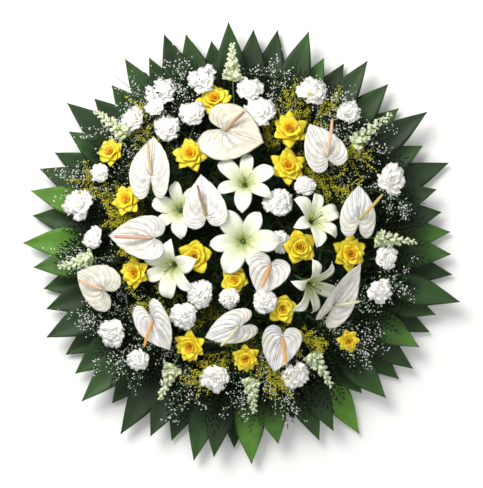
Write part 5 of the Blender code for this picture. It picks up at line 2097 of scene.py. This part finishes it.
@dataclass
class Greens:
    """The mat of cut greens under the blooms: leaves and fine foliage, dense, and near-black, which is partly
    their own dark green and partly painted shade.
    """

    node: str
    palette: Palette
    scatter: Scatter
    leaf: Object
    sprig: Object
    frond: Object
    seed: int
    leaves: int = 400
    sprigs: int = 1500
    fronds: int = 820
    headroom: float = 38 * MM
    rings: tuple[float, ...] = (123 * MM, 195 * MM, 275 * MM)
    ring_half: float = 3.4 * MM
    # Beyond this distance from the centre the greens lean outwards
    shoulder: float = 0.24
    fringe_end: float = 0.465

    def spread(self, draw: Draws, count: int, low: float, high: float) -> tuple[Vec, Vec, Vec]:
        """Draws places over the mat and ways out of it.

        Args:
            draw: The mat's draws.
            count: How many.
            low: Smallest distance from the centre.
            high: Largest distance.

        Returns:
            The distances, the spots and the ways, as rows.
        """
        radius = np.sqrt(draw.uniform(low**2, high**2, count))
        angle = draw.uniform(0, math.tau, count)
        outer = radius > self.shoulder
        lean = np.where(outer, draw.uniform(0.8, 1.35, count), draw.uniform(0.2, 1.1, count))
        any_way = draw.uniform(0, math.tau, count)
        heading = np.where(outer, angle + draw.uniform(-0.7, 0.7, count), any_way)
        height = np.array([foam_height(min(r, FOAM_REACH)) for r in radius]) + 5 * MM
        return radius, round_axis(angle, radius, height), round_axis(heading, np.sin(lean), np.cos(lean))

    def held_under(self, spots: Vec, ways: Vec, sizes: Vec) -> Vec:
        """The sizes, cut where a tip would come up among the faces of the blooms.

        Args:
            spots: Where the pieces stand.
            ways: The way each one points.
            sizes: The length of each one.

        Returns:
            The lengths that stay under the dome.
        """
        tips = spots + ways * sizes[:, None]
        top = dome(np.hypot(tips[:, 0], tips[:, 1])) - self.headroom
        room = np.maximum(top - spots[:, 2], 12 * MM) / np.maximum(ways[:, 2], 0.05)
        return np.minimum(sizes, room)

    def build(self) -> Object:
        """Builds and dresses the mat.

        Returns:
            The finished object.
        """
        draw = np.random.default_rng(self.seed)
        skin = Skin()
        for radius in self.rings:
            skin.stem(level_ring(radius, foam_height(radius) + 4 * MM, 73), self.ring_half, 6)
        beds = (
            (Layer.BLOOM, self.leaf_places(draw), self.leaf, "greens"),
            (Layer.CORE, self.sprig_places(draw), self.sprig, "needle"),
            (Layer.BLOOM, self.fringe(draw), self.frond, "greens"),
        )
        for k, (layer, places, shape, key) in enumerate(beds):
            finish = self.palette.made[key]
            self.scatter.grow(skin, layer, places, shape, finish, self.seed + k, (0.85, 1.1))
        return skin.build(self.node + "_leaves", self.palette.pick("greens", "stem", "needle"))

    def leaf_places(self, draw: Draws) -> tuple[Vec, Vec, Vec]:
        """Draws the broad leaves of the mat, longer where they lean outwards.

        Args:
            draw: The mat's draws.

        Returns:
            The spots, the ways and the lengths, as rows.
        """
        radius, spots, ways = self.spread(draw, self.leaves, 0.0, 0.318)
        low = np.where(radius > self.shoulder, 60, 44)
        sizes = draw.uniform(low, low + 34, self.leaves) * MM
        return spots, ways, self.held_under(spots, ways, sizes)

    def sprig_places(self, draw: Draws) -> tuple[Vec, Vec, Vec]:
        """Draws the sprigs of fine foliage that rise through the mat.

        Args:
            draw: The mat's draws.

        Returns:
            The spots, the ways and the lengths, as rows.
        """
        _, spots, ways = self.spread(draw, self.sprigs, 0.04, 0.36)
        spots[:, 2] += draw.uniform(0, 40, self.sprigs) * MM
        sizes = draw.uniform(34, 72, self.sprigs) * MM
        return spots, ways, self.held_under(spots, ways, sizes)

    def fringe(self, draw: Draws) -> tuple[Vec, Vec, Vec]:
        """Draws the fronds that lie outwards over the feet of the rim leaves, in the cut greens' near-black
        finish with its painted shade.

        Args:
            draw: The mat's draws.

        Returns:
            The spots, the ways and the lengths, as rows.
        """
        radius = draw.uniform(0.255, 0.345, self.fronds)
        angle = draw.uniform(0, math.tau, self.fronds)
        lean = draw.uniform(1.30, 1.66, self.fronds)
        heading = angle + draw.normal(0, 0.32, self.fronds)
        height = foam_height(FOAM_REACH) + draw.uniform(6, 40, self.fronds) * MM
        spots = round_axis(angle, radius, height)
        ways = round_axis(heading, np.sin(lean), np.cos(lean))
        sizes = np.minimum(draw.uniform(84, 132, self.fronds) * MM, self.fringe_end - radius)
        return spots, ways, sizes


# Studio


@dataclass(frozen=True)
class Lamp:
    """A square soft lamp aimed at the wreath: its place and size in metres, and its power."""

    name: str
    place: tuple[float, float, float]
    size: float
    power: float
    colour: Colour

    def build(self) -> None:
        """Adds the lamp."""
        light = bpy.data.lights.new(self.name, "AREA")
        light.energy = self.power
        light.size = self.size
        light.color = self.colour
        holder = bpy.data.objects.new(self.name, light)
        holder.location = self.place
        aim = np.array((0, 0, 0.1)) - np.array(self.place)
        heading = math.atan2(aim[1], aim[0])
        tilt = math.acos(-aim[2] / np.linalg.norm(aim))
        holder.rotation_euler = (tilt, 0, heading - math.pi / 2)
        bpy.context.scene.collection.objects.link(holder)


@dataclass
class Studio:
    """The pale floor, the camera that looks straight down, and the light from the wreath's top."""

    palette: Palette
    distance: float = 5.0
    level: float = 0.12
    picture_height: float = 1.171
    centre: tuple[float, float] = (0.0036, -0.0024)
    floor_half: float = 6.0
    world: Colour = (1.0, 1.0, 0.99)
    world_strength: float = 0.58
    lamps: tuple[Lamp, ...] = (
        Lamp("key", (-1.3, 1.7, 2.9), 1.5, 108.0, (1.0, 0.99, 0.96)),
        Lamp("fill", (1.5, -1.6, 3.2), 2.6, 10.0, (1.0, 1.0, 1.0)),
    )

    def build(self) -> None:
        """Builds the floor, the camera and the lamps."""
        half = self.floor_half
        corners = np.array(((-half, -half, 0), (half, -half, 0), (half, half, 0), (-half, half, 0)))
        skin = Skin()
        skin.add(corners, np.array(((0, 1, 2, 3),)), np.zeros((4, 2)), 0.5, Layer.BLOOM)
        skin.build("studio_floor", self.palette.pick("floor"))
        camera = bpy.data.cameras.new("camera")
        camera.sensor_fit = "VERTICAL"
        camera.angle_y = 2 * math.atan(self.picture_height / 2 / (self.distance - self.level))
        holder = bpy.data.objects.new("camera", camera)
        holder.location = (*self.centre, self.distance)
        bpy.context.scene.collection.objects.link(holder)
        bpy.context.scene.camera = holder
        for lamp in self.lamps:
            lamp.build()
        world = bpy.data.worlds.new("studio")
        world.use_nodes = True
        background = world.node_tree.nodes["Background"]
        background.inputs["Color"].default_value = rgba(self.world)
        background.inputs["Strength"].default_value = self.world_strength
        bpy.context.scene.world = world
        bpy.context.scene.view_settings.view_transform = "Standard"


# The whole wreath


@dataclass
class Wreath:
    """Builds every piece, ties it to its solid and reports it."""

    frame: dict
    palette: Palette
    beds: Beds
    scatter: Scatter
    triangles: int = 0
    # Each tier: its band's outer radius at a leaf and middle height, and its leaves' rises
    tiers: tuple[tuple, ...] = (
        ("leaf_collar_lower", 314.3, 24.5, (-6, -9, -7)),
        ("leaf_collar_middle", 311.0, 31.8, (4, 6, 7)),
        ("leaf_collar_upper", 311.0, 39.1, (12, 20, 25)),
    )
    leaf_roll: float = 8.0

    def keep(self, piece: Object, node: str) -> None:
        """Ties a finished piece to the solid that it stands for, and reports it.

        Args:
            piece: The finished object.
            node: The solid's node.
        """
        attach(piece, "root")
        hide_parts(node)
        count = sum(len(polygon.vertices) - 2 for polygon in piece.data.polygons)
        self.triangles += count
        LOG.info("%s: %d triangles", piece.name, count)

    def shape(self, name: str, skin: Skin, key: str) -> Object:
        """A small shape for the scatter, which is removed once it has been used."""
        return skin.build(name, [self.palette.made[key]])

    def dress_base(self) -> None:
        """Gives the tray and the foam their finishes."""
        for node, key in (("tray", "tray"), ("foam_disc", "foam")):
            materials = self.frame["nodes"][node].data.materials
            materials.clear()
            materials.append(self.palette.made[key])

    def leaves(self) -> None:
        """Builds the three tiers of rim leaves and the mat of greens."""
        chance = random.Random(PLAN_SEED)
        places = rim_leaves(chance)
        for i, (node, radius, height, rise) in enumerate(self.tiers):
            own = places[i :: len(self.tiers)]
            rolls = [math.radians(chance.uniform(-self.leaf_roll, self.leaf_roll)) for _ in own]
            sizes = radius * MM, height * MM, rise
            collar = LeafCollar(node, *sizes, own, rolls, self.palette, 400 + i)
            self.keep(collar.build(), node)
        leaf = self.shape("leaf_shape", leaflet_skin(), "greens")
        sprig = self.shape("sprig_shape", sprig_skin(), "needle")
        frond = self.shape("frond_shape", sprig_skin(9, 0.24, 0.13), "greens")
        greens = Greens("greens_garland", self.palette, self.scatter, leaf, sprig, frond, 501)
        self.keep(greens.build(), "greens_garland")
        for shape in (leaf, sprig, frond):
            bpy.data.objects.remove(shape)

    def blooms(self) -> None:
        """Builds the anthuriums, and then the kinds that need no shape to repeat."""
        bead = self.shape("bead_shape", bead_skin(1.5 * MM), "spadix_peach")
        tools = self.beds, self.palette
        for i, plan in enumerate(ANTHURIUMS):
            node = f"anthurium_{i + 1:02d}"
            bloom = SpatheBloom(node, plan, *tools, self.scatter, bead, 10 + i)
            self.keep(bloom.build(), node)
        bpy.data.objects.remove(bead)
        groups = (
            ("lily_{}", LilyBloom, LILIES, 30, 1, "lily_petal"),
            ("rose_bunch_{}", RoseBunch, ROSE_BUNCHES, 50, 5, "rose_petal"),
            ("carnation_bunch_{:02d}", CarnationBunch, CARNATION_BUNCHES, 120, 5, "carnation_petal"),
            ("snapdragon_{}", SnapdragonSpike, SNAPDRAGONS, 200, 1, "snapdragon_floret"),
        )
        for label, kind, plans, seed, step, slot in groups:
            for i, plan in enumerate(plans):
                node = label.format(i + 1)
                self.keep(kind(node, plan, *tools, seed + step * i).build(), node)

    def sprays(self) -> None:
        """Builds the gypsophila and the solidago."""
        puff = self.shape("puff_shape", puff_skin(), "gypsophila")
        grain = self.shape("grain_shape", bead_skin(), "solidago")
        for form, shape, groups, seed in ((CLOUD, puff, GYPSOPHILA, 220), (PLUME, grain, SOLIDAGO, 240)):
            for i, tips in enumerate(groups):
                node = f"{form.finish}_spray_{i + 1}"
                spray = Spray(node, tips, form, self.beds, self.palette, self.scatter, shape, seed + i)
                self.keep(spray.build(), node)
            bpy.data.objects.remove(shape)


def main() -> None:
    """Builds the studio and the wreath in order."""
    logging.basicConfig(level=logging.INFO, format="%(name)s %(message)s")
    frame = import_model()
    palette = Palette()
    Studio(palette).build()
    wreath = Wreath(frame, palette, Beds(frame), Scatter())
    wreath.dress_base()
    wreath.leaves()
    wreath.blooms()
    wreath.sprays()


if __name__ == "__main__":
    main()
